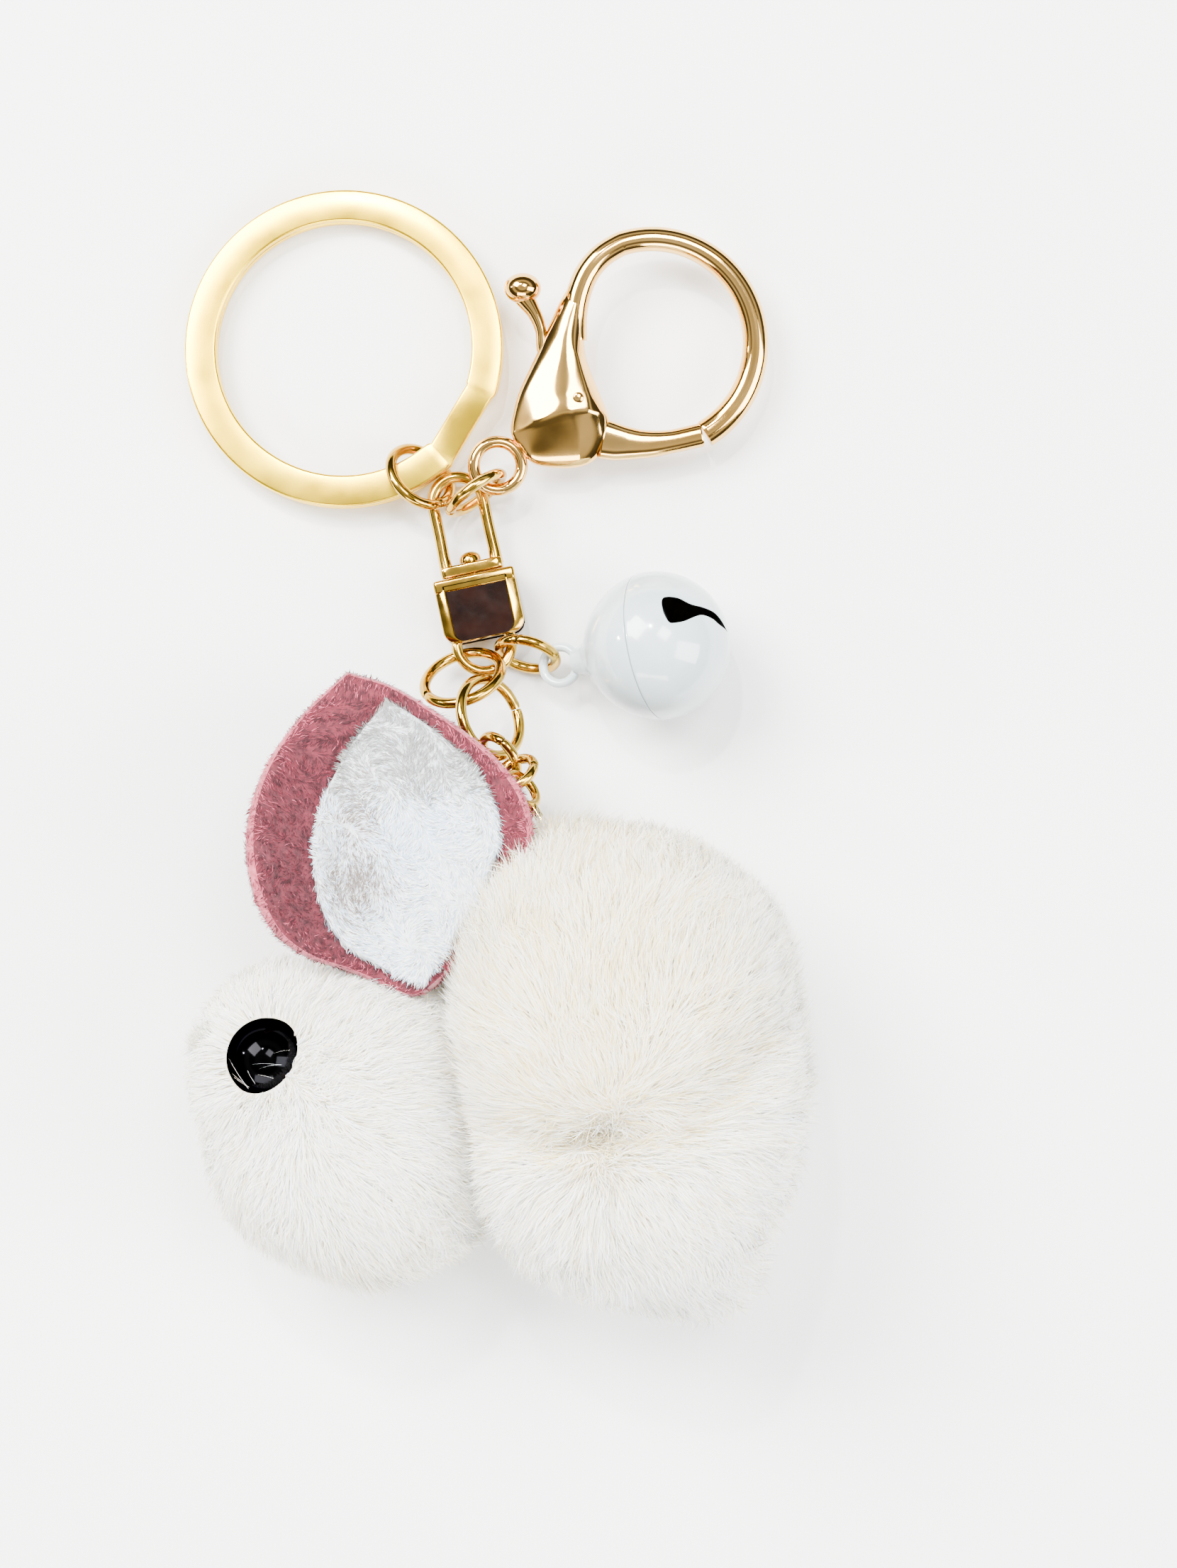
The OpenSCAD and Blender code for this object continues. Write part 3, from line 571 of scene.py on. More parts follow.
def bell():
    """Two half shells that meet at a seam, as profiles of (radius, distance from the loop), and the loop."""
    frame_at = (LOOP_AT, bell_frame())
    seam, wall = 0.45, 0.925
    back, lip = REACH - BALL_R, REACH - seam

    def inner(profile):
        return [(max(r * wall, 0.0), REACH + (x - REACH) * wall) for r, x in profile[::-1]]

    def turned(profile, m):
        v, f = lathe(profile, m, True)
        return v @ turn("y", 90).T, f

    near, far = [], []
    for b in np.linspace(0, math.pi, 90):
        x, y = REACH - BALL_R * math.cos(b), BALL_R * math.sin(b)
        if x < lip:
            near.append((y * (1 - 0.09 * math.cos(b) ** 2), x))
        else:
            far.append((y, x))
    edge = math.sqrt(BALL_R * BALL_R - seam * seam)
    neck = [(0.9, back - 1.75), (1.3, back - 1.65), (1.5, back - 1.2), (1.65, back - 0.5), (2.05, back + 0.1),
            (2.7, back + 0.5)]
    near = neck + [p for p in near if p[0] > 3.2] + [(edge - 0.02, lip - 0.12)]
    cap = near + [(edge - 0.2, lip - 0.02), (edge - 0.7, lip - 0.02)]
    cap += inner([p for p in near if 3 < p[0] < edge - 0.1]) + [(0.9, back + 0.8)]
    make("bell_cap", turned(cap, 128), ENAMEL, "bell", ["bell_top"], at=frame_at, sharp=50)
    cup = [(edge - 0.7, lip + 0.02), (edge + 0.02, lip + 0.02), (edge + 0.07, lip + 0.12)]
    cup += [(r * 1.006, x) for r, x in far[1:-1]] + [(0, REACH + BALL_R), (0, REACH + BALL_R * 0.92)]
    o = make("bell_cup", turned(cup + inner(far[1:-1]), 160), [ENAMEL, BELL_PAINTED_SHADE], "bell", ["bell_bottom"],
             at=frame_at)
    # The rattle slot: a round hole near the seam that runs out into a thin curved slit, seen from above.
    cut = smooth_curve([(0.55, 4.73), (2.05, 4.79), (3.47, 4.14), (4.91, 3.82), (6.08, 3.36), (6.86, 2.58),
                        (7.57, 1.41), (7.25, 1.68), (6.6, 2.06), (5.81, 2.65), (4.78, 2.97), (3.99, 2.78),
                        (2.82, 2.26), (1.92, 2.06), (1.14, 2.13), (0.5, 3.4)], 96, True)
    k = len(cut)
    tool = np.vstack([np.c_[cut, np.full(k, z)] for z in (0.6, 12.0)]) + BALL_AT
    faces = bands(2, k) + [list(range(k))[::-1], [i + k for i in range(k)]]
    me = new_mesh("slot_tool", tool, faces)
    # The slot's cut walls take slot 1 of this tool, the painted shade inside the bell.
    me.materials.append(ENAMEL)
    me.materials.append(BELL_PAINTED_SHADE)
    me.polygons.foreach_set("material_index", np.ones(len(faces), np.int32))
    weld(me)
    weld(o.data)
    tool_o = add_object("slot_tool", me)
    b = o.modifiers.new("slot", "BOOLEAN")
    b.object, b.operation, b.solver = tool_o, "DIFFERENCE", "EXACT"
    apply_all(o)
    bpy.data.objects.remove(tool_o)
    # Faces of the inner wall take slot 1, the painted shade inside the bell.
    for p in o.data.polygons:
        c = np.array(p.center) * 1000 - SHIFT - BALL_AT
        if np.linalg.norm(c) < 7.6 and abs(np.dot(unit(c), np.array(p.normal))) > 0.5:
            p.material_index = 1
    sharpen(o)
    v, f = sweep(circle(2.0), lambda i: ellipse(0.5, 0.5, 18), True)
    make("bell_loop", (v @ turn("x", -5).T, f), ENAMEL, "bell", at=frame_at)
    v, f = sphere(PELLET_R, 40)
    lowest = BALL_R - 0.6 - PELLET_R - 0.1
    make("bell_rattle", (v + BALL_AT - [0, 0, lowest], f), GOLD, "pellet", ["bell_pellet"])


bell()

# ---- plush skins

BODY_AT, HEAD_AT = np.array([6.3, -30.0, 18.0]), np.array([-27.3, -35.5, 15.6])
EYE_XY, EYE_R = np.array([-34.1, -26.6]), 4.1


def eye_frame():
    """Where the near eye stands on the head's ellipsoid, and its axes, as columns, with z out of the head."""
    size = np.array([30.0, 36.0, 31.0])
    d = EYE_XY - HEAD_AT[:2]
    h = math.sqrt(1 - (d[0] / size[0] * 2) ** 2 - (d[1] / size[1] * 2) ** 2) * size[2] / 2
    normal = unit(np.array([d[0], d[1], h]) / size ** 2)
    s = unit(np.cross([0, 1.0, 0], normal))
    return np.array([d[0], d[1], h]), np.stack([s, np.cross(normal, s), normal], axis=1)


EYE_OFF, EYE_ROT = eye_frame()


def at_eye(p, side):
    """Points in the frame of the near (1) or far (-1) eye."""
    return ((p - HEAD_AT) * [1, 1, side] - EYE_OFF) @ EYE_ROT


def from_eye(p):
    """Distance from the axis of the eye on the same side."""
    q = np.where((p[:, 2:] > HEAD_AT[2]), at_eye(p, 1), at_eye(p, -1))
    return np.hypot(q[:, 0], q[:, 1])


def place(px, py, z):
    """The point at height z that covers a point of the plan grid."""
    k = GRID_STEP * (1 - z / VIEW_HEIGHT)
    return (px - GRID_X) * k, (GRID_Y - py) * k


def outline_radius(points, z, centre):
    """Smooth radius against heading about the centre, through the outline's points."""
    xy = np.array([place(x, y, z) for x, y in points]) - centre[:2]
    a, r = np.arctan2(xy[:, 1], xy[:, 0]), np.linalg.norm(xy, axis=1)
    s = np.argsort(a)
    a, r = a[s], r[s]
    grid = np.linspace(-math.pi, math.pi, 361)
    rr = np.interp(grid, np.r_[a[-1] - TAU, a, a[0] + TAU], np.r_[r[-1], r, r[0]])
    w = np.exp(-0.5 * (np.arange(-12, 13) / 5.0) ** 2)
    rr = np.convolve(np.r_[rr[-13:-1], rr, rr[1:13]], w / w.sum(), "valid")
    return lambda t: np.interp(t, grid, rr)


BODY_LINE = outline_radius([(749, 1175), (820, 1160), (898, 1155), (958, 1165), (1038, 1214), (1100, 1265),
                            (1128, 1330), (1140, 1399), (1154, 1488), (1140, 1612), (1107, 1717), (1068, 1787),
                            (1030, 1850), (958, 1862), (874, 1850), (784, 1826), (714, 1787), (668, 1715),
                            (640, 1640), (618, 1550), (612, 1450), (622, 1350), (650, 1270), (700, 1205)],
                           18, BODY_AT)
HEAD_LINE = outline_radius([(252, 1461), (257, 1502), (268, 1580), (287, 1660), (322, 1724), (386, 1772),
                            (460, 1800), (531, 1822), (616, 1790), (682, 1750), (705, 1660), (700, 1550),
                            (680, 1450), (625, 1370), (560, 1345), (500, 1335), (420, 1330), (360, 1345),
                            (305, 1380), (272, 1425)], 15.6, HEAD_AT)
GATHER = np.array(place(818, 1620, 30))
LOWEST_SKIN = 1.2
CREASE = np.array([place(*p, 30) for p in ((1050, 1470), (1010, 1545), (958, 1590), (890, 1612), (818, 1622),
                                           (740, 1612), (670, 1600), (630, 1560))])


def near_line(xy, line):
    """Distance from each point to a polyline."""
    best = np.full(len(xy), 1e9)
    for a, b in zip(line, line[1:]):
        t = np.clip(((xy - a) @ (b - a)) / ((b - a) @ (b - a)), 0, 1)
        best = np.minimum(best, np.linalg.norm(xy - a - t[:, None] * (b - a), axis=1))
    return best


def falloff(xy, centre, size):
    """1 at the centre, fading to 0 past the given size."""
    return np.exp(-(np.linalg.norm(xy - centre, axis=1) / size) ** 2)


def skin(name, centre, line, pile, half_t, node_names, dents):
    """The backing of the pile fabric: a stuffed ball with the outline's plan, drawn in by the pile's depth."""
    bm = bmesh.new()
    bmesh.ops.create_icosphere(bm, subdivisions=6, radius=1.0)
    d = np.array([v.co for v in bm.verts])
    a = np.arctan2(d[:, 1], d[:, 0])
    r = np.maximum(line(a) - pile, 4.0) * np.hypot(d[:, 0], d[:, 1]) ** 0.9
    p = np.c_[r * np.cos(a), r * np.sin(a), half_t * np.sign(d[:, 2]) * abs(d[:, 2]) ** 0.95]
    p = dents(p + centre, d)
    p[:, 2] = np.maximum(p[:, 2], LOWEST_SKIN)
    for v, q in zip(bm.verts, to_metres(p)):
        v.co = Vector(q)
    me = bpy.data.meshes.new(name)
    bm.to_mesh(me)
    bm.free()
    o = finish_piece(name, me, BACKING, "plush", node_names)
    puff(o, 0.0011)
    return o


def puff(o, cap):
    """Lets the stuffed skin swell under cloth simulation, at many times its size, then limits the movement."""
    big, frames = 30.0, 20
    start = np.array([v.co for v in o.data.vertices])
    mid = start.mean(0)
    me = bpy.data.meshes.new("puff")
    me.from_pydata(((start - mid) * big).tolist(), [], [list(p.vertices) for p in o.data.polygons])
    sim = add_object("puff", me)
    scene = bpy.context.scene
    c = sim.modifiers.new("cloth", "CLOTH")
    c.settings.quality = 5
    c.settings.mass = 0.3
    c.settings.tension_stiffness = c.settings.compression_stiffness = 25
    c.settings.bending_stiffness = 2
    c.settings.use_pressure = True
    c.settings.uniform_pressure_force = 4
    c.settings.effector_weights.gravity = 0
    c.point_cache.frame_start, c.point_cache.frame_end = 1, frames
    for k in range(1, frames + 1):
        scene.frame_set(k)
    dg = bpy.context.evaluated_depsgraph_get()
    got = np.array([v.co for v in sim.evaluated_get(dg).data.vertices]) / big + mid
    scene.frame_set(1)
    bpy.data.objects.remove(sim)
    move = got - start
    size = np.linalg.norm(move, axis=1, keepdims=True)
    out = start + move * np.minimum(1, cap / np.maximum(size, 1e-9))
    out[:, 2] = np.maximum(out[:, 2], LOWEST_SKIN / 1000)
    o.data.vertices.foreach_set("co", out.ravel())
    o.data.update()


def body_dents(p, d):
    """Draws the crease and the gather in, and lets the lobe below them and the belly stand out."""
    xy = p[:, :2]
    facing = np.clip(abs(d[:, 2]) * 1.6, 0, 1)
    depth = 2.7 * np.exp(-(near_line(xy, CREASE) / 2.8) ** 2) + 1.8 * falloff(xy, GATHER, 3.6)
    lobe, belly = 1.6 * falloff(xy, place(900, 1740, 30), 8), 1.0 * falloff(xy, place(860, 1330, 30), 10)
    p[:, 2] += np.sign(d[:, 2]) * facing * (lobe + belly - depth)
    return p


def head_dents(p, d):
    """Thins the head towards the neck and sinks a seat for each eye."""
    facing = np.clip(abs(d[:, 2]) * 1.6, 0, 1)
    neck = np.exp(-((p[:, 0] + 12.5) / 3.5) ** 2)
    p[:, 2] -= np.sign(d[:, 2]) * facing * 1.5 * neck
    for side in (1, -1):
        q = at_eye(p, side)
        r = np.hypot(q[:, 0], q[:, 1])
        w = np.clip((6.8 - r) / 2.2, 0, 1) * (abs(q[:, 2]) < 7)
        q[:, 2] += (-2.7 - q[:, 2]) * w * w * (3 - 2 * w)
        p = (q @ EYE_ROT.T + EYE_OFF) * [1, 1, side] + HEAD_AT
    return p


BODY_SKIN = skin("body_skin", BODY_AT, BODY_LINE, 3.0, 15.6, ["body_cover", "body_stuffing"], body_dents)
HEAD_SKIN = skin("head_skin", HEAD_AT, HEAD_LINE, 2.6, 13.2, ["head_cover", "head_stuffing"], head_dents)


def neck_thread():
    """Fourteen turns of thread round the neck."""
    axis = unit(BODY_AT - HEAD_AT)
    a = np.linspace(0, 14 * TAU, 500)
    h = np.linspace(13.6, 18, 500)
    s = unit(np.cross(axis, [0, 0, 1.0]))
    t = np.cross(axis, s)
    path = HEAD_AT + h[:, None] * axis + 3.7 * (np.cos(a)[:, None] * s + np.sin(a)[:, None] * t)
    coil = sweep(path, lambda i: ellipse(0.18, 0.18, 8), up=axis)
    make("neck_thread", coil, THREAD, "plush", ["neck_stitching"])


neck_thread()


# ---- fibres

def mesh_arrays(o):
    """Points and outward normals in design millimetres, and triangles, of a piece's mesh."""
    me = o.data
    me.calc_loop_triangles()
    p = np.empty(len(me.vertices) * 3)
    me.vertices.foreach_get("co", p)
    n = np.empty(len(me.vertices) * 3, np.float32)
    me.vertices.foreach_get("normal", n)
    t = np.empty(len(me.loop_triangles) * 3, np.int32)
    me.loop_triangles.foreach_get("vertices", t)
    return p.reshape(-1, 3) * 1000 - SHIFT, n.reshape(-1, 3).astype(float), t.reshape(-1, 3)


def scatter(p, n, tris, count, rng, weight=None):
    """Random points on a mesh, spread evenly or by a weight at each triangle's centre."""
    a, b, c = p[tris[:, 0]], p[tris[:, 1]], p[tris[:, 2]]
    area = np.linalg.norm(np.cross(b - a, c - a), axis=1)
    if weight is not None:
        area = area * weight((a + b + c) / 3)
    pick = rng.choice(len(tris), size=count, p=area / area.sum())
    u, v = rng.random(count), rng.random(count)
    flip = u + v > 1
    u[flip], v[flip] = 1 - u[flip], 1 - v[flip]
    w = np.stack([1 - u - v, u, v], axis=1)
    t = tris[pick]
    return (p[t] * w[:, :, None]).sum(1), unit((n[t] * w[:, :, None]).sum(1))


def flattened(v, nor):
    """The part of v that lies along the surface."""
    return v - (v * nor).sum(1, keepdims=True) * nor


def clump_to(points, tips, size, rng, pull):
    """Draws each tip towards the tip of a nearby leader, so that the fibres lie in locks."""
    count = max(int(len(points) / size), 1)
    lead = rng.choice(len(points), count, replace=False)
    tree = KDTree(count)
    for i, q in enumerate(points[lead]):
        tree.insert(q, i)
    tree.balance()
    near = np.array([tree.find(q)[1] for q in points])
    goal = tips[lead][near] + (points - points[lead][near]) * 0.25
    k = (pull * rng.random(len(points)) ** 0.5)[:, None]
    return tips + (goal - tips) * k


def ribbons(name, root, normal, mid, tip, width, tint, mats, body, rng):
    """Tapered flat fibres bent from root through mid to tip, facing out, and kept above the table."""
    n = len(root)
    face = unit(normal + rng.normal(size=(n, 3)) * 0.3)
    rows = [(1 - t) ** 2 * root + 2 * t * (1 - t) * mid + t * t * tip for t in (0.0, 0.36, 0.7, 1.0)]
    rows = np.stack(rows, 1)
    rows[:, :, 2] = np.maximum(rows[:, :, 2], 0.1 + 0.15 * rng.random((n, 1)))
    side = unit(np.cross(unit(rows[:, 2] - rows[:, 0]), face))
    w = width[:, None] / 2
    verts = np.empty((n, 7, 3))
    for k, s in enumerate((1.0, 0.9, 0.62)):
        verts[:, 2 * k] = rows[:, k] - side * w * s
        verts[:, 2 * k + 1] = rows[:, k] + side * w * s
    verts[:, 6] = rows[:, 3]
    tri = np.array([[0, 1, 3], [0, 3, 2], [2, 3, 5], [2, 5, 4], [4, 5, 6]])
    loops = (np.arange(n)[:, None, None] * 7 + tri).reshape(-1)
    me = bpy.data.meshes.new(name)
    me.vertices.add(n * 7)
    me.vertices.foreach_set("co", to_metres(verts.reshape(-1, 3)).ravel())
    me.loops.add(len(loops))
    me.loops.foreach_set("vertex_index", loops.astype(np.int32))
    me.polygons.add(n * 5)
    me.polygons.foreach_set("loop_start", np.arange(n * 5, dtype=np.int32) * 3)
    me.update(calc_edges=True)
    o = finish_piece(name, me, mats, body, (), np.repeat(tint, 5))
    flat = unit(np.cross(side, unit(rows[:, 2] - rows[:, 0])))
    shade = unit(normal * 1.0 + flat * 0.45 + rng.normal(size=(n, 3)) * 0.12)
    me.normals_split_custom_set_from_vertices(np.repeat(shade, 7, axis=0).tolist())
    return o


FUR = [plain("pile_warm", (244, 227, 170), 0.75), plain("pile_cream", (249, 241, 214), 0.75),
       plain("pile_white", (253, 251, 243), 0.75), plain("pile_cool", (240, 246, 252), 0.75),
       plain("pile_shade", (220, 208, 180), 0.8)]


def waves(p, rng, size):
    """A smooth random vector field, in three octaves."""
    out = np.zeros_like(p)
    for k in range(3):
        f = rng.normal(size=(3, 3)) / size * 1.7 ** k
        out += np.sin(p @ f + rng.random(3) * TAU) / (k + 1)
    return out


def coat(prefix, o, count, pieces, seed, flow, length, stand, tint_at, clear=None):
    """The long pile on one skin, as several pieces; flow to clear are functions of the roots."""
    rng = np.random.default_rng(seed)
    p, n, tris = mesh_arrays(o)
    root, nor = scatter(p, n, tris, count, rng, clear)
    along = unit(flattened(flow(root), nor) + 0.42 * waves(root, rng, 1.9) + 0.36 * rng.normal(size=root.shape))
    along = unit(flattened(along, nor))
    ln = length(root) * (0.72 + 0.5 * rng.random(count) ** 1.4)
    st = stand(root)[:, None]
    d0 = unit(nor * (0.45 + st) + along * 0.75 + rng.normal(size=root.shape) * 0.2)
    d1 = unit(nor * (0.05 + 0.7 * st) + along * 1.0 + rng.normal(size=root.shape) * 0.2 - [0, 0, 0.04])
    mid = root + d0 * ln[:, None] * 0.5
    tip = mid + d1 * ln[:, None] * 0.55
    tip = clump_to(root, tip, 18, rng, 0.42)
    mid = mid + (tip - (mid + d1 * ln[:, None] * 0.55)) * 0.3
    tint = tint_at(root, rng)
    w = 0.09 * (0.7 + 0.6 * rng.random(count))
    order = rng.permutation(count)
    for k in range(pieces):
        s = order[k::pieces]
        buried = root[s] - nor[s] * 0.25
        ribbons(f"{prefix}_{k + 1}", buried, nor[s], mid[s], tip[s], w[s], tint[s], FUR, "plush", rng)


def pick_tint(weights, rng):
    """A tint number for each row of weights."""
    c = np.cumsum(weights, axis=1)
    return (rng.random((len(c), 1)) * c[:, -1:] > c).sum(1)


def body_flow(p):
    """Away from the gather and outwards."""
    f = np.c_[p[:, :2] - GATHER, np.zeros(len(p))]
    out = (p - BODY_AT) * [1, 1, 0.25]
    return unit(f) + unit(out) * 0.45


def body_tint(p, rng):
    d = np.linalg.norm((p[:, :2] - place(850, 1400, 30)) / [13, 17], axis=1)
    warm = np.clip(1.15 - d, 0, 1)
    rim = np.clip(d - 0.8, 0, 1)
    patch = 0.5 + 0.5 * np.sin(p[:, 0] * 0.6 + 1.1 * np.sin(p[:, 1] * 0.45))
    # Painted shade along the crease: more warm and shade-tinted fibres there.
    seam = np.exp(-(near_line(p[:, :2], CREASE) / 1.5) ** 2)
    w = np.stack([0.25 + 1.6 * warm * (0.6 + 0.6 * patch) + seam, 0.9 + warm, 1.2 + rim * 1.4,
                  0.25 + rim * 1.6, 0.12 + 0.5 * seam + 0 * d], axis=1)
    return pick_tint(w, rng)


def head_flow(p):
    """Away from the eye and outwards."""
    f = np.c_[p[:, :2] - EYE_XY - [0.6, -0.6], np.zeros(len(p))]
    out = (p - HEAD_AT) * [1, 1, 0.3]
    return unit(f) * (0.9 + 1.5 * np.exp(-(from_eye(p) / 5.5) ** 2))[:, None] + unit(out) * 0.6


def head_tint(p, rng):
    low = np.clip((-40 - p[:, 1]) / 8, 0, 1)
    w = np.stack([0.12 + 0.3 * low, 0.7 + 0.3 * low, 2.0 + 0 * low, 1.1 + 0 * low, 0.14 + 0.15 * low], axis=1)
    return pick_tint(w, rng)


def body_length(p):
    """Longer to the edge, in the tuft at the lower right and beside the neck, shorter at the gather."""
    xy = p[:, :2]
    edge = np.clip(np.linalg.norm((xy - BODY_AT[:2]) / [17, 25], axis=1), 0, 1)
    tuft, neck = falloff(xy, place(1030, 1830, 18), 5), falloff(xy, place(762, 1178, 14), 4.5)
    return 3.6 + 0.9 * edge + 2.2 * tuft + 3.2 * neck - 1.2 * falloff(xy, GATHER, 3)


def body_stand(p):
    return 0.34 + 0 * p[:, 0]


def head_length(p):
    """Longer low on the head, shorter round the eye."""
    low = np.clip((-36 - p[:, 1]) / 12, 0, 1)
    return 3.1 + 1.5 * low - 1.7 * np.exp(-(from_eye(p) / 5.5) ** 2)


def head_stand(p):
    return 0.3 + 0.4 * np.exp(-((from_eye(p) - 3.4) / 1.5) ** 2)


def off_eye(p):
    return (from_eye(p) > 3.95) * 1.0


SHARE = 1.0
coat("body_pile", BODY_SKIN, int(150000 * SHARE), 4, 11, body_flow, body_length, body_stand, body_tint)
coat("head_pile", HEAD_SKIN, int(100000 * SHARE), 3, 12, head_flow, head_length, head_stand, head_tint,
     off_eye)


# ---- ears

def felt(name, fn, thick, nu, nv, mats, body, nodes, flip):
    """A piece of felt of the given thickness about a surface, with a rounded cut edge."""
    u, v = np.meshgrid(np.linspace(-1, 1, nu), np.linspace(0, 1, nv), indexing="ij")
    s = fn(u.ravel(), v.ravel()).reshape(nu, nv, 3)
    n = np.cross(np.gradient(s, axis=0), np.gradient(s, axis=1))
    n[:, 0], n[:, -1] = n[:, 1], n[:, -2]
    n = unit(n) * (-1 if flip else 1)
    m = nu * nv
    idx = np.arange(m).reshape(nu, nv)
    faces = []
    for i in range(nu - 1):
        for j in range(nv - 1):
            q = [idx[i, j], idx[i + 1, j], idx[i + 1, j + 1], idx[i, j + 1]]
            faces += [q[::-1], [k + m for k in q]] if flip else [q, [k + m for k in q[::-1]]]
    index = [0] * len(faces)
    loop = list(idx[:, 0]) + list(idx[-1, 1:]) + list(idx[-2::-1, -1]) + list(idx[0, -2:0:-1])
    flat_s, flat_n = s.reshape(-1, 3), n.reshape(-1, 3)
    centre = flat_s.mean(0)
    rim, c = [], len(loop)
    for a, k in enumerate(loop):
        out = unit(np.cross(flat_s[loop[(a + 1) % c]] - flat_s[loop[a - 1]], flat_n[k]))
        if out @ (flat_s[k] - centre) < 0:
            out = -out
        rim.append(flat_s[k] + out * thick * 0.28)
    for a in range(c):
        b = (a + 1) % c
        faces += [[loop[a], 2 * m + a, 2 * m + b, loop[b]], [2 * m + a, loop[a] + m, loop[b] + m, 2 * m + b]]
        index += [1, 1]
    me = new_mesh(name, np.vstack([flat_s + flat_n * thick / 2, flat_s - flat_n * thick / 2, rim]), faces)
    me.polygons.foreach_set("material_index", np.array(index, np.int32))
    weld(me)
    return finish_piece(name, me, mats, body, nodes)


def sides(left, right, z):
    """Left and right edges as smooth functions of v, from base to tip."""
    l = smooth_curve([place(*p, z) for p in left], 200)
    r = smooth_curve([place(*p, z) for p in right], 200)

    def at(c, v):
        return np.stack([np.interp(v, np.linspace(0, 1, 200), c[:, k]) for k in (0, 1)], axis=-1)

    return lambda u, v: at(l, v) * ((1 - u) / 2)[:, None] + at(r, v) * ((1 + u) / 2)[:, None]


PINK_PLAN = sides([(604, 1394), (579, 1401), (539, 1386), (489, 1365), (440, 1345), (402, 1312), (378, 1262),
                   (364, 1200), (364, 1140), (378, 1085), (402, 1040), (435, 998), (486, 950)],
                  [(604, 1394), (630, 1370), (662, 1330), (692, 1290), (718, 1250), (738, 1212), (748, 1170),
                   (735, 1122), (700, 1075), (655, 1037), (604, 1002), (545, 968), (486, 950)], 22)
WHITE_PLAN = sides([(600, 1383), (565, 1372), (530, 1356), (496, 1335), (470, 1302), (455, 1262), (447, 1215),
                    (449, 1165), (459, 1125), (474, 1092), (494, 1055), (520, 1020), (545, 993)],
                   [(600, 1383), (622, 1350), (645, 1310), (668, 1275), (688, 1235), (701, 1190), (699, 1148),
                    (683, 1110), (662, 1080), (638, 1056), (612, 1034), (578, 1010), (552, 995)], 21)


EAR_BASE, EAR_TIP = np.array(place(604, 1394, 22)), np.array(place(486, 950, 22))


def ear_height(xy):
    """Height of the cupped near ear over the table at a plan position."""
    reach = np.linalg.norm(EAR_TIP - EAR_BASE)
    axis = (EAR_TIP - EAR_BASE) / reach
    d = xy - EAR_BASE
    v = np.clip(d @ axis / reach, 0, 1)
    u = d @ np.array([axis[1], -axis[0]])
    left, right = np.clip(-u - 1.5, 0, None), np.clip(u - 3.5, 0, None)
    z = 21.6 - 3.6 * v - 0.9 * np.sin(np.pi * v)
    cup = 0.35 + 0.65 * np.sin(np.pi * np.clip(v, 0.05, 0.95))
    z += (0.085 * left ** 1.95 + 0.045 * right ** 1.9) * cup
    return z + 1.5 * falloff(xy, EAR_BASE, 4.0)


def near_pink(u, v):
    q = PINK_PLAN(u, v)
    return np.c_[q, ear_height(q)]


def near_white(u, v):
    q = WHITE_PLAN(u, v)
    wave = 0.55 * np.sin(3.0 * v * math.pi + 1.2 + 1.1 * u) * np.sin(np.pi * np.clip(v, 0, 1))
    return np.c_[q, ear_height(q) + 1.05 + wave * (1 - 0.4 * u * u) * (1 - abs(u)) ** 0.4]


def far(fn):
    """The other ear: the same cut, laid flatter and turned face down beside the table."""
    def at(u, v):
        d = (fn(u, v) - [*EAR_BASE, 21.0]) * [0.96, 0.96, -0.3]
        return d @ turn("z", 1.5).T + [-17.4, -21.5, 5.0]
    return at


def ear(side, wrap, flip):
    """The pink felt and the white felt of one ear."""
    return (felt(side + "_pink", wrap(near_pink), 1.1, 41, 61, [PINK, PINK_EDGE], side, [side + "_back"],
                 flip),
            felt(side + "_white", wrap(near_white), 0.8, 37, 55, [WHITE_FELT, WHITE_FELT], side,
                 [side + "_front"], flip))


NEAR_PINK, NEAR_WHITE = ear("near_ear", lambda fn: fn, False)
FAR_PINK, FAR_WHITE = ear("far_ear", far, True)

PINK_FUZZ = [plain("pink_fibre_deep", (46, 5, 15), 0.85), plain("pink_fibre", (114, 32, 48), 0.85),
             plain("pink_fibre_light", (182, 78, 98), 0.85)]
WHITE_FUZZ = [plain("felt_fibre", (246, 248, 248), 0.85), plain("felt_fibre_cool", (200, 222, 244), 0.85),
              plain("felt_fibre_grey", (142, 144, 141), 0.85), plain("felt_fibre_dun", (128, 114, 106), 0.85)]
RIM_L, RIM_R = [PINK_PLAN(np.full(60, q), np.linspace(0, 1, 60)) for q in (-1.0, 1.0)]
WHITE_L = WHITE_PLAN(np.full(60, -1.0), np.linspace(0, 1, 60))


def spot(p, px, py, size):
    return falloff(p[:, :2], place(px, py, 21), size)


def pink_tint(p, rng):
    """Painted shadow makes it deep against the white felt's left edge, and painted shade makes it darker
    towards the tip; lighter to the rims, partly the lighter cut edge and partly painted light on the curled
    rim; in slanting streaks.
    """
    left, right = near_line(p[:, :2], RIM_L), near_line(p[:, :2], RIM_R)
    # Painted shadow where the white felt's left edge shades the cupped wall.
    inner = np.exp(-(near_line(p[:, :2], WHITE_L) / 3.8) ** 2)
    streak = 0.5 + 0.5 * np.sin(p[:, 0] * 2.2 + p[:, 1] * 1.3 + 1.2 * np.sin(p[:, 1] * 0.8))
    # Lighter at the rims: partly the lighter cut edge, partly painted light on the curled rim.
    rim = np.exp(-(np.minimum(left, right) / 1.1) ** 2)
    # Painted shade: darker towards the tip, away from the rims.
    upper = np.clip((p[:, 1] - place(440, 1150, 21)[1]) / 8, 0, 1) * (1 - rim)
    # Deep fibres: some at random everywhere, the rest as the painted shade and painted shadow above.
    deep = 0.45 + 0.9 * upper + 3.2 * inner * (0.35 + streak)
    return pick_tint(np.stack([deep, 1.2 - 0.4 * inner, 0.06 + 1.2 * rim], axis=1), rng)


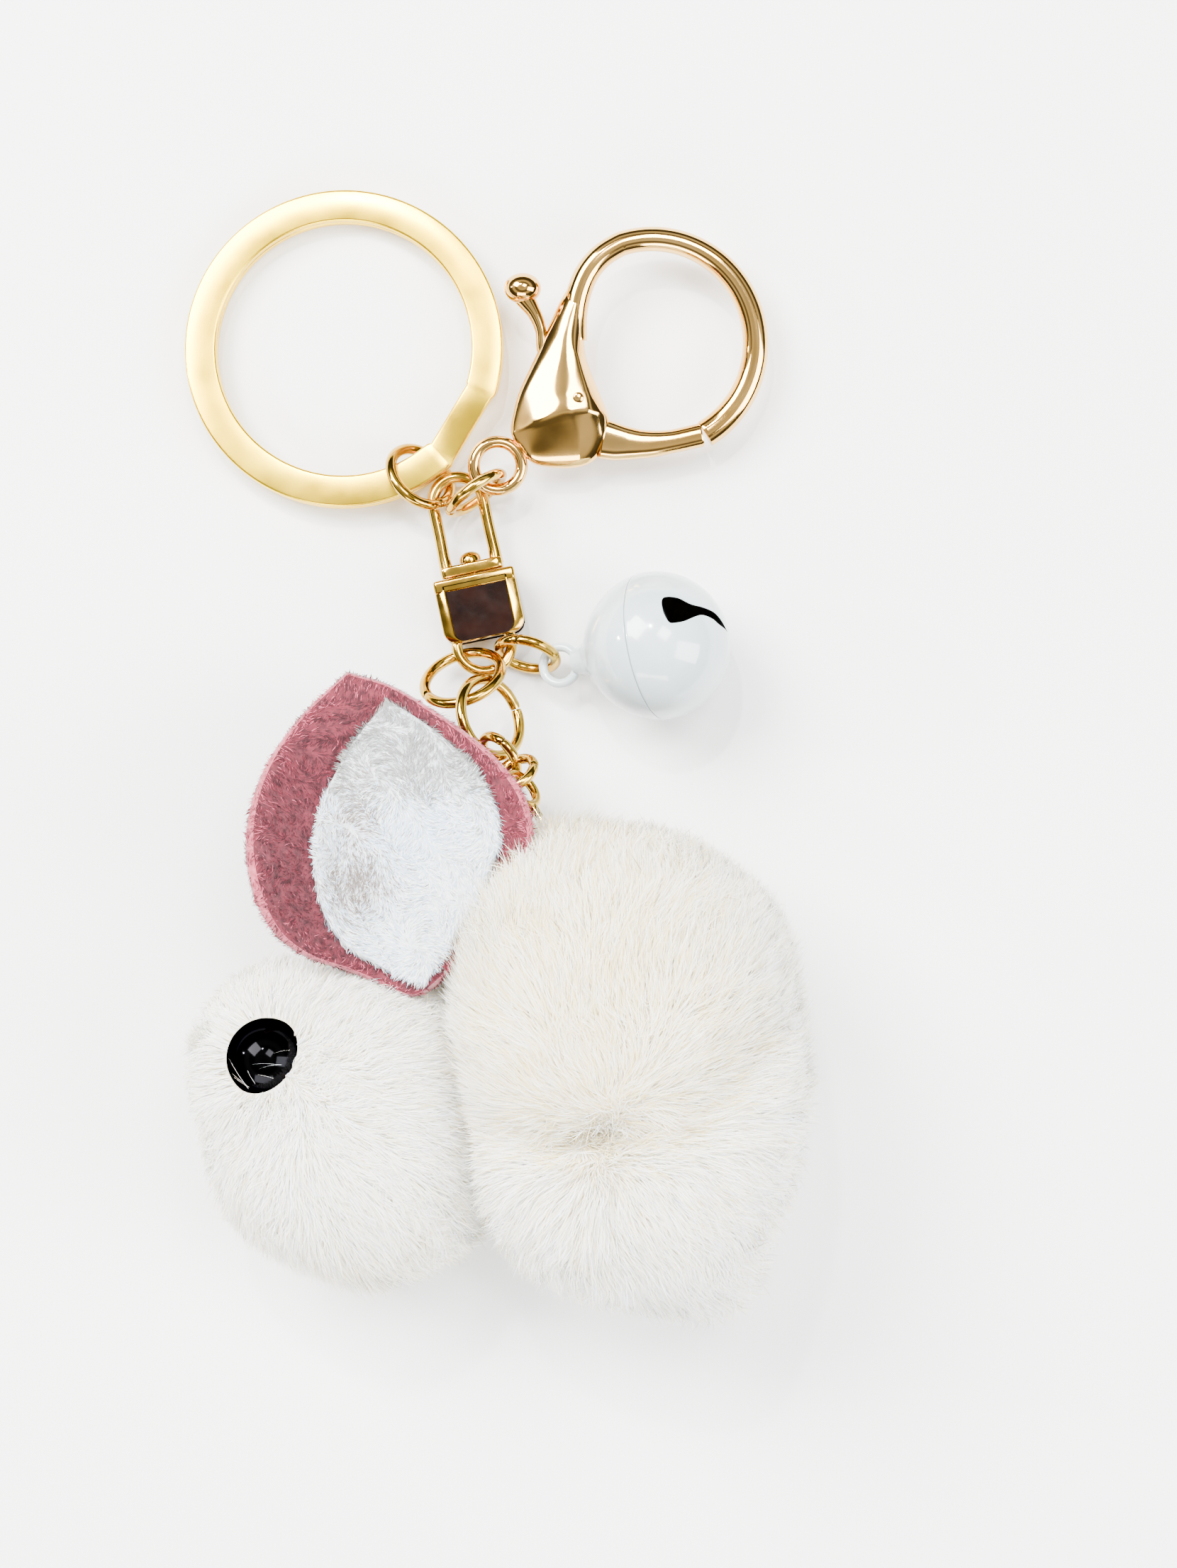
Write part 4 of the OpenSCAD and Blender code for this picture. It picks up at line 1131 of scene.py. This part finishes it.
def white_tint(p, rng):
    """Painted shade greys it towards the tip and a painted shadow lies in one soft patch; bluish in the middle;
    painted light makes it brightest low on the right.
    """
    # Painted shade: greyer towards the tip.
    grey = np.clip((p[:, 1] - place(580, 1145, 21)[1]) / 4, 0, 1)
    # Painted shadow: a soft grey-brown patch.
    shadow_patch = np.clip(spot(p, 505, 1245, 3.2) + 0.7 * spot(p, 500, 1150, 2.5), 0, 1)
    # Bluish in the middle; painted light makes it brightest low on the right.
    cool, bright = spot(p, 580, 1200, 5), spot(p, 640, 1270, 5)
    pale = 1 - 0.9 * np.maximum(grey, shadow_patch)
    return pick_tint(np.stack([(0.8 + 1.8 * bright) * pale, (0.6 + 1.2 * cool) * pale, 0.08 + 2.6 * grey,
                               0.02 + 2.0 * shadow_patch], axis=1), rng)


def even(*weights):
    return lambda p, rng: pick_tint(np.tile(weights, (len(p), 1)), rng)


def fuzz(o, count, seed, size, mats, tint_at, body, comb=(0.3, -0.6, 0)):
    """Short fibres that stand off a felt surface."""
    rng = np.random.default_rng(seed)
    p, n, tris = mesh_arrays(o)
    root, nor = scatter(p, n, tris, int(count * SHARE), rng)
    comb = unit(flattened(unit(waves(root, rng, 1.6) + comb), nor))
    ln = size * (0.5 + rng.random(len(root)))[:, None]
    d = unit(nor * 0.4 + comb + rng.normal(size=root.shape) * 0.35)
    mid, tip = root + d * ln * 0.5, root + unit(d + comb * 0.4) * ln
    w = 0.075 * (0.6 + 0.7 * rng.random(len(root)))
    tint = tint_at(root, rng)
    ribbons(o.name + "_fuzz", root - nor * 0.05, nor, mid, tip, w, tint, mats, body, rng)


fuzz(NEAR_PINK, 38000, 21, 0.6, PINK_FUZZ, pink_tint, "near_ear", (-0.5, -0.7, 0))
fuzz(NEAR_WHITE, 39000, 22, 0.75, WHITE_FUZZ, white_tint, "near_ear")
fuzz(FAR_PINK, 12000, 23, 0.6, PINK_FUZZ, even(0.9, 1.2, 0.45), "far_ear")
fuzz(FAR_WHITE, 12000, 24, 0.75, WHITE_FUZZ, even(1.2, 0.8, 0.25, 0.05), "far_ear")

# ---- eyes

def eyes():
    """A glossy dome on a stem for each eye, and a few wisps of pile over the edge of the near one."""
    dome = [(EYE_R * math.sin(b), 1.2 - EYE_R + EYE_R * math.cos(b)) for b in np.linspace(0, 1.9, 40)]
    v, f = lathe(dome + [(0.8, -4.2), (0.8, -5), (0, -5)], 96)
    for side, name in ((1, "near_eye"), (-1, "far_eye")):
        q = put(v, EYE_OFF, EYE_ROT) * [1, 1, side] + HEAD_AT
        make(name + "_dome", (q, [g[::side] for g in f]), EYE, "plush", [name], sharp=60)
    rng = np.random.default_rng(31)
    n = 8
    a = np.radians(rng.uniform(-80, 10, n))
    root = np.c_[np.cos(a), np.sin(a), 0 * a] * rng.uniform(4.0, 4.9, (n, 1)) + [0, 0, -0.2]
    inward = unit(np.c_[-np.cos(a + 0.6), -np.sin(a + 0.6), 0 * a] + rng.normal(size=(n, 3)) * 0.25)
    ln = rng.uniform(1.0, 3.2, (n, 1))
    mid = root + inward * ln * 0.5 + [0, 0, 1.3]
    tip = root + inward * ln + [0, 0, 1.4]
    for q in (root, mid, tip):
        q[:] = put(q, EYE_OFF, EYE_ROT) + HEAD_AT
    ribbons("eye_wisps", root, np.tile(EYE_ROT[:, 2], (n, 1)), mid, tip, rng.uniform(0.007, 0.013, n),
            rng.integers(1, 4, n), FUR, "plush", rng)


eyes()

# ---- CAD nodes that stay

for node, mat in (("anchor_eye", GOLD), ("anchor_washer", GOLD), ("near_eye_washer", EYE),
                  ("far_eye_washer", EYE)):
    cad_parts[node].data.materials.clear()
    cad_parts[node].data.materials.append(mat)

# ---- studio, camera

def light(name, at, size, watts, colour=(1, 1, 1)):
    """A rectangular light that faces the middle of the table."""
    l = bpy.data.lights.new(name, "AREA")
    l.shape, l.size, l.size_y, l.energy, l.color = "RECTANGLE", size[0], size[1], watts, colour
    o = add_object(name, l)
    o.location = at
    o.rotation_euler = (Vector((0.0, 0.0, 0.01)) - Vector(at)).to_track_quat("-Z", "Y").to_euler()


def table():
    bpy.ops.mesh.primitive_plane_add(size=6, location=(0, 0, -0.0002))
    floor = bpy.context.object
    floor.name = "floor"
    floor.data.materials.append(material("floor_paint", (240, 240, 239), (244, 244, 243), 6, (0.8, 0.9)))


def surroundings():
    """Bright and dark bands by height for the metal to mirror, and an even pale grey for the camera."""
    w = bpy.data.worlds.new("studio")
    bpy.context.scene.world = w
    w.use_nodes = True
    t = w.node_tree
    bands_bg = t.nodes["Background"]
    new, link = t.nodes.new, t.links.new
    coord, split = new("ShaderNodeTexCoord"), new("ShaderNodeSeparateXYZ")
    ramp = new("ShaderNodeValToRGB")
    link(coord.outputs["Generated"], split.inputs[0])
    link(split.outputs["Z"], ramp.inputs["Fac"])
    e = ramp.color_ramp.elements
    e[0].position, e[0].color = 0.0, (0.05, 0.04, 0.03, 1)
    e[1].position, e[1].color = 1.0, (0.55, 0.55, 0.57, 1)
    for at, tone in ((0.3, 0.06), (0.46, 0.1), (0.56, 0.75), (0.68, 0.8), (0.76, 0.12), (0.86, 0.16),
                     (0.93, 0.9)):
        e.new(at).color = (tone, tone * 0.97, tone * 0.94, 1)
    mixer, path = new("ShaderNodeMixShader"), new("ShaderNodeLightPath")
    plain_bg = new("ShaderNodeBackground")
    set_inputs(plain_bg, Color=(0.9, 0.9, 0.9, 1), Strength=1.0)
    set_inputs(bands_bg, Strength=1.25)
    link(ramp.outputs["Color"], bands_bg.inputs["Color"])
    link(path.outputs["Is Camera Ray"], mixer.inputs["Fac"])
    link(bands_bg.outputs[0], mixer.inputs[1])
    link(plain_bg.outputs[0], mixer.inputs[2])
    link(mixer.outputs[0], t.nodes["World Output"].inputs["Surface"])


def camera():
    cam = bpy.data.cameras.new("camera")
    cam.sensor_width = 36
    cam.lens = 18 / (GRID_STEP * GRID_Y / VIEW_HEIGHT)
    cam.clip_start, cam.clip_end = 0.01, 20
    bpy.context.scene.camera = add_object("camera", cam)
    bpy.context.scene.camera.location = (SHIFT[0] * MM, SHIFT[1] * MM, VIEW_HEIGHT * MM)


table()
light("key", (-0.34, 0.30, 0.52), (0.34, 0.34), 20.0, (1.0, 0.985, 0.96))
light("fill", (0.50, -0.10, 0.42), (0.30, 0.45), 9.4, (0.96, 0.98, 1.0))
light("front", (-0.05, -0.55, 0.34), (0.5, 0.25), 7.2)
light("top", (0.16, 0.22, 0.70), (0.22, 0.22), 6.4)
light("glint", (-0.08, 0.29, 0.53), (0.02, 0.02), 2.6)
light("low_glint", (-0.46, 0.09, 0.23), (0.02, 0.02), 1.2)
surroundings()
camera()
